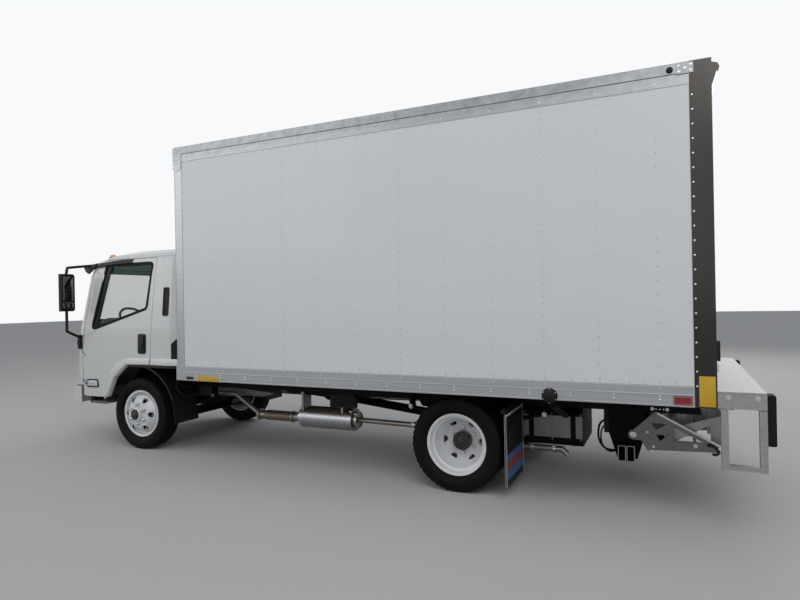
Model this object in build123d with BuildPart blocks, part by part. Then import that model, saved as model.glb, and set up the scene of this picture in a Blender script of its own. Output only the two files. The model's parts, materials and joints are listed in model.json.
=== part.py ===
# Cab-over box truck with a riveted van body, dock step and tuck-under lift.
# Millimetres. +X forward, +Y to the driver's left, +Z up, ground at Z = 0.
from build123d import *
import os
from math import cos, radians

os.makedirs("parts", exist_ok=True)

# Whole vehicle, all X places follow from the axles
front_overhang = 1103
wheelbase = 3810
rear_overhang = 2285
overall_length = front_overhang + wheelbase + rear_overhang
front_axle_x = overall_length / 2 - front_overhang
rear_axle_x = front_axle_x - wheelbase
nose_x = overall_length / 2
tail_x = -overall_length / 2
running_gap = 0.3

# Wheels and tyres
tyre_radius = 400
tyre_width = 226
rim_seat_radius = 247
rim_flange_radius = 262
disc_thickness = 11
wheel_offset = 127
hub_bolt_circle = 222.25
hand_hole_circle = 345
nut_count = 6
nut_radius = 15
front_track = 1666
rear_track = 1640
axle_z = tyre_radius

# Frame
frame_width = 850
frame_bottom_z = 661
frame_depth = 215
frame_flange = 70
frame_wall = 6
frame_top_z = frame_bottom_z + frame_depth
frame_front_x = nose_x - 210
frame_rear_x = rear_axle_x - 1869
frame_half = frame_width / 2
cross_radius = 50
centre_bearing_x = 560
web_hole_x = frame_rear_x + 150
web_hole_z = frame_bottom_z + 60
web_hole_spacing = 60
web_hole_radius = 7.5

# Van body
body_length = 4910
body_width = 2438
body_rear_x = rear_axle_x - 1945
body_front_x = body_rear_x + body_length
body_half = body_width / 2
roof_top_z = 3235
rail_bottom_z = 853
panel_bottom_z = 999
panel_top_z = 3079
wall_thickness = 38
panel_inset = 4
rail_wall = 40
sill_depth = 76
deck_thickness = 28
post_depth = 124
rear_post_depth = 138
rear_post_width = 90
header_depth = 156
roof_thickness = 30
door_thickness = 30
deck_bottom_z = frame_top_z + sill_depth
deck_top_z = deck_bottom_z + deck_thickness
wall_front_x = body_front_x - post_depth
wall_rear_x = body_rear_x + rear_post_depth

# Cab
cab_rear_x = nose_x - 1800
cab_wall = 42
cab_floor_z = 955
cab_floor_thickness = 25
cab_split_z = 2172
cab_panel_bottom_z = 700
cab_side_bottom_z = 575
cab_rear_bottom_z = 963
door_gap = 5
glass_thickness = 6
glass_depth = 10
tilt_pivot_x = nose_x - 140
tilt_pivot_z = 690
tilt_pivot_y = 330
pivot_pin_radius = 14

# Bumper
bumper_bottom_z = 464
bumper_top_z = 685
bumper_wall = 6
bumper_lip = 12
bumper_half = 1022

# Steering
kingpin_y = 690
kingpin_radius = 16
steer_arm_length = 180
tie_rod_y = 640
tie_rod_radius = 14

# Lift
lift_pivot_x = body_rear_x + 583
lift_pivot_z = 471


def block(x, y, z, mode=Mode.ADD):
    """A box between the low and high values of x, y and z."""
    middle = ((x[0] + x[1]) / 2, (y[0] + y[1]) / 2, (z[0] + z[1]) / 2)
    with Locations(middle):
        Box(x[1] - x[0], y[1] - y[0], z[1] - z[0], mode=mode)


def strip_y(side, low, high):
    """The low and high Y of a strip on one side of the vehicle."""
    return (min(side * low, side * high), max(side * low, side * high))


def outline(points):
    """A closed flat face through points, in the sketch that is open."""
    Polygon(*points, align=None)


def rod(start, end, radius, mode=Mode.ADD):
    """A round bar from start to end."""
    run = Vector(*end) - Vector(*start)
    middle = (Vector(*start) + Vector(*end)) / 2
    with Locations(Plane(origin=middle, z_dir=run)):
        Cylinder(radius, run.length, mode=mode)


def save(builder, name):
    builder.part.label = name
    export_step(builder.part, f"parts/{name}.step")


def mirrored(builder):
    """The same part on the other side of the vehicle."""
    with BuildPart() as other:
        add(mirror(builder.part, about=Plane.XZ))
    return other


# Ladder frame: two channels, tube cross members between them
rail_outline = [
    (frame_half, frame_bottom_z),
    (frame_half, frame_top_z),
    (frame_half - frame_flange, frame_top_z),
    (frame_half - frame_flange, frame_top_z - frame_wall),
    (frame_half - frame_wall, frame_top_z - frame_wall),
    (frame_half - frame_wall, frame_bottom_z + frame_wall),
    (frame_half - frame_flange, frame_bottom_z + frame_wall),
    (frame_half - frame_flange, frame_bottom_z),
]
ear_y = tilt_pivot_y + 15
cross_places = [1360, centre_bearing_x, -200, rear_axle_x + 520, rear_axle_x - 340, frame_rear_x + 60]
cross_z = frame_bottom_z + frame_depth / 2
cab_mount_x = cab_rear_x + 90
tube_length = frame_width - 2 * frame_wall
front_tube_x = frame_front_x - 60
with BuildPart() as frame_rails:
    with BuildSketch(Plane.YZ.offset(frame_rear_x)):
        outline(rail_outline)
        mirror(about=Plane.YZ)
    extrude(amount=frame_front_x - frame_rear_x)
    with Locations(Plane((web_hole_x, 0, web_hole_z), x_dir=(1, 0, 0), z_dir=(0, 1, 0))):
        with GridLocations(web_hole_spacing, 1, 2, 1):
            Cylinder(web_hole_radius, frame_width + 10, mode=Mode.SUBTRACT)
save(frame_rails, "frame_rails")

with BuildPart() as cross_members:
    for x in cross_places:
        with Locations(Location((x, 0, cross_z), (90, 0, 0))):
            Cylinder(cross_radius, tube_length)
save(cross_members, "cross_members")

# Cab mounts: front tube with the tilt ears and pins, rear beam under the cab
with BuildPart() as cab_mounts:
    with Locations(Location((front_tube_x, 0, cross_z), (90, 0, 0))):
        Cylinder(cross_radius, tube_length)
    for side in (1, -1):
        with BuildSketch(Plane.XZ.offset(-side * tilt_pivot_y)):
            outline([
                (frame_front_x - 110, cross_z + 40),
                (frame_front_x - 110, cross_z - 40),
                (tilt_pivot_x - 16, tilt_pivot_z - 22),
                (tilt_pivot_x + 16, tilt_pivot_z - 18),
                (tilt_pivot_x + 16, tilt_pivot_z + 18),
            ])
        extrude(amount=-side * 15)
        with Locations(Location((tilt_pivot_x, side * (ear_y + 25), tilt_pivot_z), (90, 0, 0))):
            Cylinder(pivot_pin_radius, 50 + 2)
    block(
        (cab_mount_x, cab_mount_x + 60),
        (-frame_half, frame_half),
        (frame_top_z, cab_floor_z - cab_floor_thickness - running_gap),
    )
save(cab_mounts, "cab_mounts")

# Front axle: forged I beam, dropped in the middle, with the kingpins
axle_top = [(-655, 442), (-600, 440), (-500, 345), (500, 345), (600, 440), (655, 442)]
axle_bottom = [(655, 358), (600, 352), (520, 258), (-520, 258), (-600, 352), (-655, 358)]
with BuildPart() as front_axle:
    with BuildSketch(Plane.YZ.offset(front_axle_x)) as beam:
        outline(axle_top + axle_bottom)
    extrude(amount=35, both=True)
    for side in (1, -1):
        with BuildSketch(Plane.YZ.offset(front_axle_x + side * 35)):
            outline(axle_top + axle_bottom)
            offset(amount=-16, mode=Mode.REPLACE)
        extrude(amount=-side * 25, mode=Mode.SUBTRACT)
    for side in (1, -1):
        with Locations((front_axle_x, side * kingpin_y, axle_z)):
            Cylinder(38, 110)
            Cylinder(kingpin_radius, 176)
        block(
            (front_axle_x - 60, front_axle_x + 60),
            (side * 390 - 45, side * 390 + 45),
            (330, 400),
        )
save(front_axle, "front_axle")

# Leaf springs: stepped packs of arcs with eyes and hangers, front then rear
spring_table = [
    # centre X, side Y, half length, eye Z, lowest Z of the pack, leaves, hanger inner Y, hanger top Z
    (front_axle_x, 390, 600, 560, 400, 3, 390 - 35, frame_bottom_z),
    (rear_axle_x, 480, 640, 600, 472, 5, frame_half, frame_bottom_z + 60),
]
leaf_width = 70
leaf_thickness = 14
eye_radius = 26
with BuildPart() as leaf_springs:
    for centre_x, side_y, half_length, eye_z, low_z, leaves, hanger_y, hanger_z in spring_table:
        top_z = low_z + leaves * leaf_thickness
        sag = eye_z - top_z
        arc_radius = (half_length**2 + sag**2) / (2 * sag)
        arc_centre_z = top_z + arc_radius
        with BuildSketch(Plane.XZ.offset(-side_y)):
            for leaf in range(leaves):
                reach = half_length * (1 - 0.17 * leaf)
                outer = arc_radius + (leaf + 1) * leaf_thickness
                with BuildSketch(mode=Mode.PRIVATE) as band:
                    with Locations((centre_x, arc_centre_z)):
                        Circle(outer)
                        Circle(outer - leaf_thickness, mode=Mode.SUBTRACT)
                    with Locations((centre_x, low_z + 100)):
                        Rectangle(2 * reach, 260, mode=Mode.INTERSECT)
                add(band.sketch)
            for end in (1, -1):
                with Locations((centre_x + end * half_length, eye_z)):
                    Circle(eye_radius)
        extrude(amount=leaf_width / 2, both=True)
        for end in (1, -1):
            middle = centre_x + end * half_length
            block(
                (middle - 14, middle + 14),
                (hanger_y, side_y + leaf_width / 2),
                (eye_z, hanger_z),
            )
        for bolt in (1, -1):
            block(
                (centre_x + bolt * 60 - 9, centre_x + bolt * 60 + 9),
                (side_y - leaf_width / 2 - 8, side_y + leaf_width / 2 + 8),
                (low_z, top_z + 22),
            )
    mirror(about=Plane.XZ)
save(leaf_springs, "leaf_springs")

# Rear axle: banjo housing with spindles and the pinion nose
rear_hub_y = rear_track / 2
banjo_radius = 175
tube_radius = 62
spindle_radius = 45
with BuildPart() as rear_axle:
    with BuildSketch(Plane((rear_axle_x, 0, axle_z), x_dir=(0, 1, 0), z_dir=(1, 0, 0))):
        with BuildLine():
            Polyline(
                (rear_hub_y + 60, 0),
                (rear_hub_y + 60, spindle_radius),
                (560, spindle_radius),
                (560, tube_radius),
                (210, tube_radius),
            )
            ThreePointArc((210, tube_radius), (130, 145), (0, banjo_radius))
            ThreePointArc((0, banjo_radius), (-130, 145), (-210, tube_radius))
            Polyline(
                (-210, tube_radius),
                (-560, tube_radius),
                (-560, spindle_radius),
                (-rear_hub_y - 60, spindle_radius),
                (-rear_hub_y - 60, 0),
                (rear_hub_y + 60, 0),
            )
        make_face()
    revolve(axis=Axis((rear_axle_x, 0, axle_z), (0, 1, 0)))
    with Locations(Location((rear_axle_x + 150, 0, axle_z + 10), (0, 90, 0))):
        Cone(110, 60, 300)
    for side in (1, -1):
        block(
            (rear_axle_x - 60, rear_axle_x + 60),
            (side * 480 - 45, side * 480 + 45),
            (axle_z, spring_table[1][4]),
        )
save(rear_axle, "rear_axle")

# Engine block, gearbox and the two-piece shaft to the rear axle
engine_x = (cab_rear_x + 250, cab_rear_x + 1080)
gearbox_x = (engine_x[0] - 620, engine_x[0])
engine_half = 260
with BuildPart() as engine:
    block(engine_x, (-engine_half, engine_half), (520, 1085))
    for side in (1, -1):
        inner = side * engine_half
        outer = side * (frame_half - frame_wall)
        block((engine_x[0] + 400, engine_x[0] + 480), (min(inner, outer), max(inner, outer)), (700, 740))
save(engine, "engine")

with BuildPart() as gearbox:
    with BuildSketch(Plane.YZ.offset(gearbox_x[1])):
        with Locations((0, 700)):
            Circle(215)
    with BuildSketch(Plane.YZ.offset(gearbox_x[1] - 200)):
        with Locations((0, 670)):
            Circle(150)
    loft(ruled=True)
    with BuildSketch(Plane.YZ.offset(gearbox_x[1] - 200)):
        with Locations((0, 660)):
            RectangleRounded(250, 290, 40)
    extrude(amount=-(gearbox_x[1] - 200 - gearbox_x[0]))
save(gearbox, "gearbox")

shaft_radius = 45
shaft_z = 620
pinion_x = rear_axle_x + 300
with BuildPart() as driveshaft:
    rod((gearbox_x[0], 0, shaft_z + 30), (gearbox_x[0] - 25, 0, shaft_z + 30), 60)
    rod((gearbox_x[0] - 24, 0, shaft_z + 30), (centre_bearing_x, 0, shaft_z - 40), shaft_radius)
    rod((centre_bearing_x, 0, shaft_z - 40), (pinion_x + 24, 0, axle_z + 10), shaft_radius)
    rod((pinion_x, 0, axle_z + 10), (pinion_x + 25, 0, axle_z + 10), 60)
    with Locations((centre_bearing_x, 0, shaft_z - 40)):
        Sphere(70)
    block(
        (centre_bearing_x - 25, centre_bearing_x + 25),
        (-60, 60),
        (shaft_z - 20, cross_z - cross_radius),
    )
save(driveshaft, "driveshaft")

# Fuel tank between the rails behind the axle, with its filler at the body side
tank_x = (-2250, -1720)
tank_z = (290, 640)
tank_half = 330
strap_inset = 80
strap_top_z = 705
filler_x = -2137
filler_z = 885
ridge = 3
filler_y = body_half + 15
filler_cup_radius = 58
neck_radius = 26
with BuildPart() as fuel_tank:
    with BuildSketch(Plane.YZ.offset(tank_x[0])):
        with Locations((0, (tank_z[0] + tank_z[1]) / 2)):
            RectangleRounded(2 * tank_half, tank_z[1] - tank_z[0], 60)
    extrude(amount=tank_x[1] - tank_x[0])
    for x in (tank_x[0] + strap_inset, tank_x[1] - strap_inset):
        block((x - 20, x + 20), (-frame_half + frame_wall, frame_half - frame_wall), (strap_top_z - 10, strap_top_z))
        for side in (1, -1):
            block((x - 20, x + 20), strip_y(side, tank_half - 90, tank_half - 70), (tank_z[1] - 5, strap_top_z))
    rod((filler_x, 300, 590), (filler_x, 520, 610), neck_radius)
    rod((filler_x, 520, 610), (filler_x, 1130, 800), neck_radius)
    rod((filler_x, 1130, 800), (filler_x, body_half - 25, filler_z - 5), neck_radius)
    rod((filler_x, body_half - 40, filler_z), (filler_x, filler_y, filler_z), 34)
    rod((filler_x, body_half + ridge, filler_z), (filler_x, filler_y, filler_z), filler_cup_radius)
save(fuel_tank, "fuel_tank")

# Exhaust on the left: flexible pipe, shielded silencer, pipe over the axle, tail pipe
exhaust_y = 250
flex_x = (775, 1354)
flex_z = 345
silencer_x = (87, 738)
silencer_z = 367
over_axle_z = 575
tail_y = 300
tail_z = 258
hanger_shelf_z = 620
exhaust_path = [
    (engine_x[0] - running_gap, exhaust_y, over_axle_z - 15),
    (1700, exhaust_y, over_axle_z - 15),
    (flex_x[1] - 5, exhaust_y, flex_z),
]
rear_path = [
    (silencer_x[0] - 30, exhaust_y, silencer_z),
    (-598, exhaust_y, silencer_z - 8),
    (rear_axle_x + 330, exhaust_y, over_axle_z),
    (rear_axle_x - 186, exhaust_y, over_axle_z),
    (tank_x[1] + 80, tail_y, tail_z),
    (-2064, tail_y, tail_z),
    (-2110, tail_y, tail_z - 45),
]
with BuildPart() as exhaust:
    rod((flex_x[0], exhaust_y, flex_z), (flex_x[1], exhaust_y, flex_z), 48)
    for x in (flex_x[0] + 120, flex_x[1]):
        rod((x - 25, exhaust_y, flex_z), (x, exhaust_y, flex_z), 64)
    rod((silencer_x[0], exhaust_y, silencer_z), (silencer_x[1], exhaust_y, silencer_z), 115)
    rod((silencer_x[1] - 1, exhaust_y, silencer_z), (flex_x[0] + 1, exhaust_y, flex_z), 75)
    rod((silencer_x[0] - 35, exhaust_y, silencer_z), (silencer_x[0] + 1, exhaust_y, silencer_z), 80)
    for path in (exhaust_path, rear_path):
        for start, end in zip(path, path[1:]):
            rod(start, end, 27)
        for bend in path[1:-1]:
            with Locations(bend):
                Sphere(27)
    for x, low_z in (
        (silencer_x[0] + 80, silencer_z + 90),
        (silencer_x[1] - 80, silencer_z + 90),
        (rear_axle_x - 160, over_axle_z),
    ):
        block((x - 12, x + 12), (exhaust_y, frame_half - 20), (low_z, hanger_shelf_z))
        block((x - 12, x + 12), (frame_half - 60, frame_half - 20), (hanger_shelf_z - 1, frame_bottom_z))
save(exhaust, "exhaust")

# Battery box on the right rail
battery_x = (900, 1450)
with BuildPart() as battery_box:
    block(battery_x, (-frame_half - 330, -frame_half), (470, 800))
    fillet(battery_box.edges().filter_by(Axis.X), 20)
save(battery_box, "battery_box")

# Front bumper: a thin curved shell with a lip on top and its brackets
bumper_corner = 110
bumper_front_corner_x = nose_x - 46
bumper_side_x = nose_x - 250


def plan_outline(back_x, corner_x, centre_x, half, corner):
    """Half-round plan: straight sides, round corners and a bowed front."""
    turn = corner * (1 - cos(radians(45)))
    Line((back_x, -half), (back_x, half))
    Line((back_x, half), (corner_x - corner, half))
    ThreePointArc((corner_x - corner, half), (corner_x - turn, half - turn), (corner_x, half - corner))
    ThreePointArc((corner_x, half - corner), (centre_x, 0), (corner_x, corner - half))
    ThreePointArc((corner_x, corner - half), (corner_x - turn, turn - half), (corner_x - corner, -half))
    Line((corner_x - corner, -half), (back_x, -half))


with BuildPart() as front_bumper:
    with BuildSketch(Plane.XY.offset(bumper_bottom_z)):
        with BuildLine():
            plan_outline(bumper_side_x, bumper_front_corner_x, nose_x, bumper_half, bumper_corner)
        make_face()
    extrude(amount=bumper_top_z - bumper_bottom_z)
    with BuildSketch(Plane.XY.offset(bumper_bottom_z - 1)):
        with BuildLine():
            plan_outline(
                bumper_side_x - 1,
                bumper_front_corner_x - bumper_wall,
                nose_x - bumper_wall,
                bumper_half - bumper_wall,
                bumper_corner - bumper_wall,
            )
        make_face()
    extrude(amount=bumper_top_z - bumper_bottom_z + 1 - bumper_wall, mode=Mode.SUBTRACT)
    with BuildSketch(Plane.XY.offset(bumper_bottom_z - 1)):
        with BuildLine():
            plan_outline(
                bumper_side_x - 1,
                bumper_front_corner_x - bumper_lip,
                nose_x - bumper_lip,
                bumper_half - bumper_lip,
                bumper_corner - bumper_lip,
            )
        make_face()
    extrude(amount=bumper_top_z - bumper_bottom_z + 2, mode=Mode.SUBTRACT)
    for side in (1, -1):
        bracket_y = (side * 400 - 6, side * 400 + 6)
        block((frame_front_x, nose_x - 9), bracket_y, (bumper_bottom_z + 40, tilt_pivot_z - 70))
        block((frame_front_x, frame_front_x + 80), bracket_y, (tilt_pivot_z - 80, frame_bottom_z + 11))
save(front_bumper, "front_bumper")

# Wheels: one rim section, a disc with hand holes, nuts and a hub
rim_section = [
    (-86, 262), (-76, 262), (-76, 250), (-71, 247), (-30, 244), (-20, 222),
    (20, 222), (30, 244), (71, 247), (76, 250), (76, 262), (86, 262),
    (86, 254), (81, 240), (36, 236), (26, 213), (-26, 213), (-36, 236), (-81, 240), (-86, 254),
]
tyre_rings = [(75.6, 265), (98, 280), (113, 318), (108, 366), (97, 391), (0, tyre_radius)]
tyre_facets = 36
bead_bore = (250 + running_gap) / cos(radians(180 / tyre_facets))
drum_radius = 190
front_hub_face = front_track / 2 + wheel_offset
rear_hub_face = rear_hub_y


def wheel_plane(x):
    """Half section plane: first axis sideways, second axis up from the wheel centre."""
    return Plane((x, 0, axle_z), x_dir=(0, 1, 0), z_dir=(1, 0, 0))


def disc_holes(x, face_y):
    """Cut the hand holes and add the nuts on a wheel disc."""
    with Locations(Plane((x, face_y, axle_z), x_dir=(0, 0, 1), z_dir=(0, 1, 0))):
        with PolarLocations(hand_hole_circle / 2, nut_count, start_angle=30):
            Cylinder(28, 80, mode=Mode.SUBTRACT)
        with PolarLocations(hub_bolt_circle / 2, nut_count):
            Cylinder(nut_radius, 50)


def spin(x):
    revolve(axis=Axis((x, 0, axle_z), (0, 1, 0)))


front_centre_y = front_track / 2
with BuildPart() as wheel_front_left:
    with BuildSketch(wheel_plane(front_axle_x)):
        outline([(front_centre_y + y, r) for y, r in rim_section])
        face = front_hub_face
        outline([
            (face, 40), (face, 150), (face - 12, 168), (face - 60, 205), (front_centre_y + 24, 214),
            (front_centre_y + 10, 214), (face - 68, 194), (face - 24, 162), (face - 11, 148), (face - 11, 40),
        ])
        outline([
            (760, 30.3), (760, drum_radius), (850, drum_radius), (850, 110), (face - 11, 110),
            (face - 11, 77), (face + 38, 77), (face + 45, 70), (face + 45, 0), (face + 33, 0), (face + 33, 30.3),
        ])
    spin(front_axle_x)
    disc_holes(front_axle_x, front_hub_face)
save(wheel_front_left, "wheel_front_left")
save(mirrored(wheel_front_left), "wheel_front_right")



def wheel_side(y):
    """A plane square to a wheel's axis, y from the wheel's centre."""
    return Plane((0, y, 0), x_dir=(1, 0, 0), z_dir=(0, 1, 0))


# One tyre of flat facets, open at the rim seat, centred on the origin
with BuildPart() as tyre:
    for y, r in [(-y, r) for y, r in tyre_rings] + [(y, r) for y, r in reversed(tyre_rings[:-1])]:
        with BuildSketch(wheel_side(y)):
            RegularPolygon(r, tyre_facets)
    loft(ruled=True)
    with BuildSketch(wheel_side(-tyre_width)):
        RegularPolygon(bead_bore, tyre_facets)
    extrude(amount=2 * tyre_width, mode=Mode.SUBTRACT)

with BuildPart() as tyre_front_left:
    with Locations((front_axle_x, front_centre_y, axle_z)):
        add(tyre.part)
save(tyre_front_left, "tyre_front_left")

with BuildPart() as tyre_front_right:
    with Locations((front_axle_x, -front_centre_y, axle_z)):
        add(tyre.part)
save(tyre_front_right, "tyre_front_right")

with BuildPart() as wheels_rear_left:
    with BuildSketch(wheel_plane(rear_axle_x)):
        for side in (1, -1):
            centre_y = rear_hub_face + side * wheel_offset
            face = rear_hub_face + side * disc_thickness
            outline([(centre_y + y, r) for y, r in rim_section])
            outline([
                (rear_hub_face, 60), (rear_hub_face, 148), (rear_hub_face + side * 13, 168),
                (rear_hub_face + side * 61, 205), (centre_y - side * 24, 214), (centre_y - side * 10, 214),
                (face + side * 58, 194), (face + side * 14, 162), (face, 148), (face, 60),
            ])
        outline([
            (600, 45.3), (600, drum_radius), (700, drum_radius), (700, 110), (rear_hub_face - 11, 110),
            (rear_hub_face - 11, 81), (rear_hub_face + 66, 81), (rear_hub_face + 73, 74),
            (rear_hub_face + 73, 0), (rear_hub_face + 61, 0), (rear_hub_face + 61, 45.3),
        ])
    spin(rear_axle_x)
    disc_holes(rear_axle_x, rear_hub_face)
save(wheels_rear_left, "wheels_rear_left")
save(mirrored(wheels_rear_left), "wheels_rear_right")

with BuildPart() as tyres_rear_left:
    with Locations((rear_axle_x, rear_hub_face, axle_z)):
        with Locations((0, wheel_offset, 0), (0, -wheel_offset, 0)):
            add(tyre.part)
save(tyres_rear_left, "tyres_rear_left")

with BuildPart() as tyres_rear_right:
    with Locations((rear_axle_x, -rear_hub_face, axle_z)):
        with Locations((0, wheel_offset, 0), (0, -wheel_offset, 0)):
            add(tyre.part)
save(tyres_rear_right, "tyres_rear_right")

# Steering knuckles and the tie rod between their arms
with BuildPart() as knuckle_left:
    with Locations((front_axle_x, kingpin_y, axle_z + 72), (front_axle_x, kingpin_y, axle_z - 72)):
        Cylinder(36, 28)
    block((front_axle_x - 36, front_axle_x + 36), (kingpin_y, kingpin_y + 62), (axle_z + 58, axle_z + 86))
    block((front_axle_x - 36, front_axle_x + 36), (kingpin_y, kingpin_y + 62), (axle_z - 86, axle_z - 58))
    block((front_axle_x - 36, front_axle_x + 36), (kingpin_y + 42, kingpin_y + 62), (axle_z - 86, axle_z + 86))
    rod((front_axle_x, kingpin_y + 50, axle_z), (front_axle_x, front_hub_face + 20, axle_z), 30)
    with BuildSketch(Plane.XY.offset(axle_z - 86)):
        outline([
            (front_axle_x, kingpin_y + 30),
            (front_axle_x, kingpin_y - 30),
            (front_axle_x - steer_arm_length - 22, tie_rod_y - 20),
            (front_axle_x - steer_arm_length - 22, tie_rod_y + 20),
        ])
    extrude(amount=24)
    with Locations((front_axle_x, kingpin_y, axle_z)):
        Cylinder(kingpin_radius + running_gap, 200, mode=Mode.SUBTRACT)
save(knuckle_left, "knuckle_left")
save(mirrored(knuckle_left), "knuckle_right")

tie_rod_z = axle_z - 86 - 22
with BuildPart() as tie_rod:
    rod(
        (front_axle_x - steer_arm_length, -tie_rod_y, tie_rod_z),
        (front_axle_x - steer_arm_length, tie_rod_y, tie_rod_z),
        tie_rod_radius,
    )
    for side in (1, -1):
        with Locations((front_axle_x - steer_arm_length, side * tie_rod_y, tie_rod_z + 3)):
            Cylinder(20, 37.4)
save(tie_rod, "tie_rod")

# Mud flaps hang behind the rear wheels from brackets on the frame
flap_x = rear_axle_x - 445
flap_y = (525, 1120)
with BuildPart() as mud_flaps:
    block((flap_x - 8, flap_x), flap_y, (103, 700))
    block((flap_x - 4, flap_x + 30), (frame_half, flap_y[1]), (700, 735))
    mirror(about=Plane.XZ)
save(mud_flaps, "mud_flaps")

# Cargo floor: cross members under a hardwood deck, down to the frame
wall_inner_y = body_half - wall_thickness - panel_inset
rail_inner_y = body_half - rail_wall
sill_spacing = 305
sill_width = 50
first_sill = 221
sill_count = int((body_length - rear_post_depth - first_sill - 90) // sill_spacing) + 1
with BuildPart() as cargo_floor:
    block((body_rear_x + rear_post_depth, body_front_x - 40), (-rail_inner_y, rail_inner_y), (deck_bottom_z, deck_top_z))
    for place in range(sill_count):
        x = wall_rear_x + first_sill + place * sill_spacing
        block((x - sill_width / 2, x + sill_width / 2), (-rail_inner_y, rail_inner_y), (frame_top_z, deck_bottom_z))
save(cargo_floor, "cargo_floor")

# Body rails: lower rail with a ridge, upper rail with a step
lower_rail = [
    (body_half, rail_bottom_z), (body_half, 930), (body_half + ridge, 930), (body_half + ridge, 936),
    (body_half, 936), (body_half, panel_bottom_z), (rail_inner_y, panel_bottom_z), (rail_inner_y, 980),
    (rail_inner_y, frame_top_z), (body_half - 6, frame_top_z), (body_half - 6, rail_bottom_z),
]
upper_rail = [
    (body_half, panel_top_z), (body_half, 3158), (body_half + ridge, 3161), (body_half + ridge, roof_top_z - 8),
    (body_half - 5, roof_top_z), (rail_inner_y, roof_top_z), (rail_inner_y, panel_top_z),
]
with BuildPart() as body_rails:
    for section in (lower_rail, upper_rail):
        with BuildSketch(Plane.YZ.offset(wall_rear_x)):
            outline(section)
        extrude(amount=(body_front_x - 12 if section is lower_rail else wall_front_x) - wall_rear_x)
    mirror(about=Plane.XZ)
    rod((filler_x, body_half - 60, filler_z), (filler_x, body_half + 20, filler_z), 44, mode=Mode.SUBTRACT)
    rod((filler_x, 1130, 800), (filler_x, body_half - 25, filler_z - 5), neck_radius + 8, mode=Mode.SUBTRACT)
save(body_rails, "body_rails")

# Side walls, front wall and roof, each as thick as the whole wall
with BuildPart() as side_walls:
    block((wall_rear_x, wall_front_x), (wall_inner_y, body_half - panel_inset), (panel_bottom_z, panel_top_z))
    mirror(about=Plane.XZ)
save(side_walls, "side_walls")

post_corner = 45
post_leg = 40
with BuildPart() as corner_posts:
    with BuildSketch(Plane.XY.offset(panel_bottom_z)):
        outline([
            (wall_front_x, body_half - post_leg),
            (wall_front_x, body_half),
            (body_front_x, body_half),
            (body_front_x, body_half - post_depth),
            (body_front_x - post_leg, body_half - post_depth),
            (body_front_x - post_leg, body_half - post_leg),
        ])
    extrude(amount=roof_top_z - panel_bottom_z)
    outer = corner_posts.edges().filter_by(Axis.Z).sort_by_distance((body_front_x, body_half, 2000))[0]
    fillet(outer, post_corner)
    mirror(about=Plane.XZ)
save(corner_posts, "corner_posts")

front_wall_half = body_half - post_depth
with BuildPart() as front_wall:
    block((body_front_x - 40, body_front_x - 2), (-front_wall_half, front_wall_half), (frame_top_z, roof_top_z))
save(front_wall, "front_wall")

with BuildPart() as cargo_roof:
    block((wall_rear_x, body_front_x - 40), (-rail_inner_y, rail_inner_y), (roof_top_z - roof_thickness - 4, roof_top_z - 4))
save(cargo_roof, "cargo_roof")

# Rear frame: posts, header with a forward wedge visor, and sill
door_half = body_half - rear_post_width
with BuildPart() as rear_frame:
    with BuildSketch(Plane.YZ.offset(body_rear_x)):
        outline([(-body_half, rail_bottom_z), (body_half, rail_bottom_z), (body_half, roof_top_z), (-body_half, roof_top_z)])
        with Locations((0, (deck_top_z + panel_top_z) / 2)):
            Rectangle(2 * door_half, panel_top_z - deck_top_z, mode=Mode.SUBTRACT)
    extrude(amount=rear_post_depth)
    block(
        (body_rear_x, wall_rear_x),
        (-frame_half - 5, frame_half + 5),
        (rail_bottom_z, frame_top_z),
        mode=Mode.SUBTRACT,
    )
    with BuildSketch(Plane.XZ.offset(body_half - 40)):
        outline([
            (body_rear_x, roof_top_z - 15),
            (body_rear_x - 42, roof_top_z - 30),
            (body_rear_x - 42, roof_top_z - 52),
            (body_rear_x, roof_top_z - 190),
        ])
    extrude(amount=-2 * (body_half - 40))
save(rear_frame, "rear_frame")

# Roll-up door: one curtain of hinged slats, closed
slat_count = 9
slat_height = (panel_top_z - deck_top_z) / slat_count
curtain_x = body_rear_x + 25
with BuildPart() as rear_door:
    block((curtain_x, curtain_x + door_thickness), (-door_half, door_half), (deck_top_z, panel_top_z))
    for slat in range(1, slat_count):
        z = deck_top_z + slat * slat_height
        block((curtain_x - 1, curtain_x + 5), (-door_half - 1, door_half + 1), (z - 4, z + 4), mode=Mode.SUBTRACT)
save(rear_door, "rear_door")

# Dock step behind the body: deck, side plates, leg loops, rubber bumpers
step_rear_x = body_rear_x - 288
step_half = body_half - 4
step_top_z = 970
step_bottom_z = 857
leg = 45
leg_bottom_z = 445
with BuildPart() as dock_step:
    block((step_rear_x, body_rear_x), (-step_half, step_half), (step_top_z - 8, step_top_z))
    block((body_rear_x - 18, body_rear_x), (-step_half, step_half), (step_bottom_z, step_top_z))
    block((step_rear_x, step_rear_x + 8), (-step_half, step_half), (step_bottom_z, step_top_z))
    for side in (1, -1):
        outer = side * step_half
        inner = side * (step_half - 8)
        block((step_rear_x, body_rear_x), (min(outer, inner), max(outer, inner)), (step_bottom_z, step_top_z))
        leg_y = (min(outer, outer - side * leg), max(outer, outer - side * leg))
        for x in (step_rear_x, body_rear_x - 18 - leg):
            block((x, x + leg), leg_y, (leg_bottom_z, step_top_z - 4))
        block((step_rear_x + leg, body_rear_x - 18 - leg), leg_y, (leg_bottom_z, leg_bottom_z + 30))
save(dock_step, "dock_step")

with BuildPart() as dock_bumpers:
    block((tail_x, step_rear_x), (step_half - 110, step_half - 10), (620, 956))
    fillet(dock_bumpers.edges().filter_by(Axis.Y).group_by(Axis.X)[0], 12)
    mirror(about=Plane.XZ)
save(dock_bumpers, "dock_bumpers")

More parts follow.
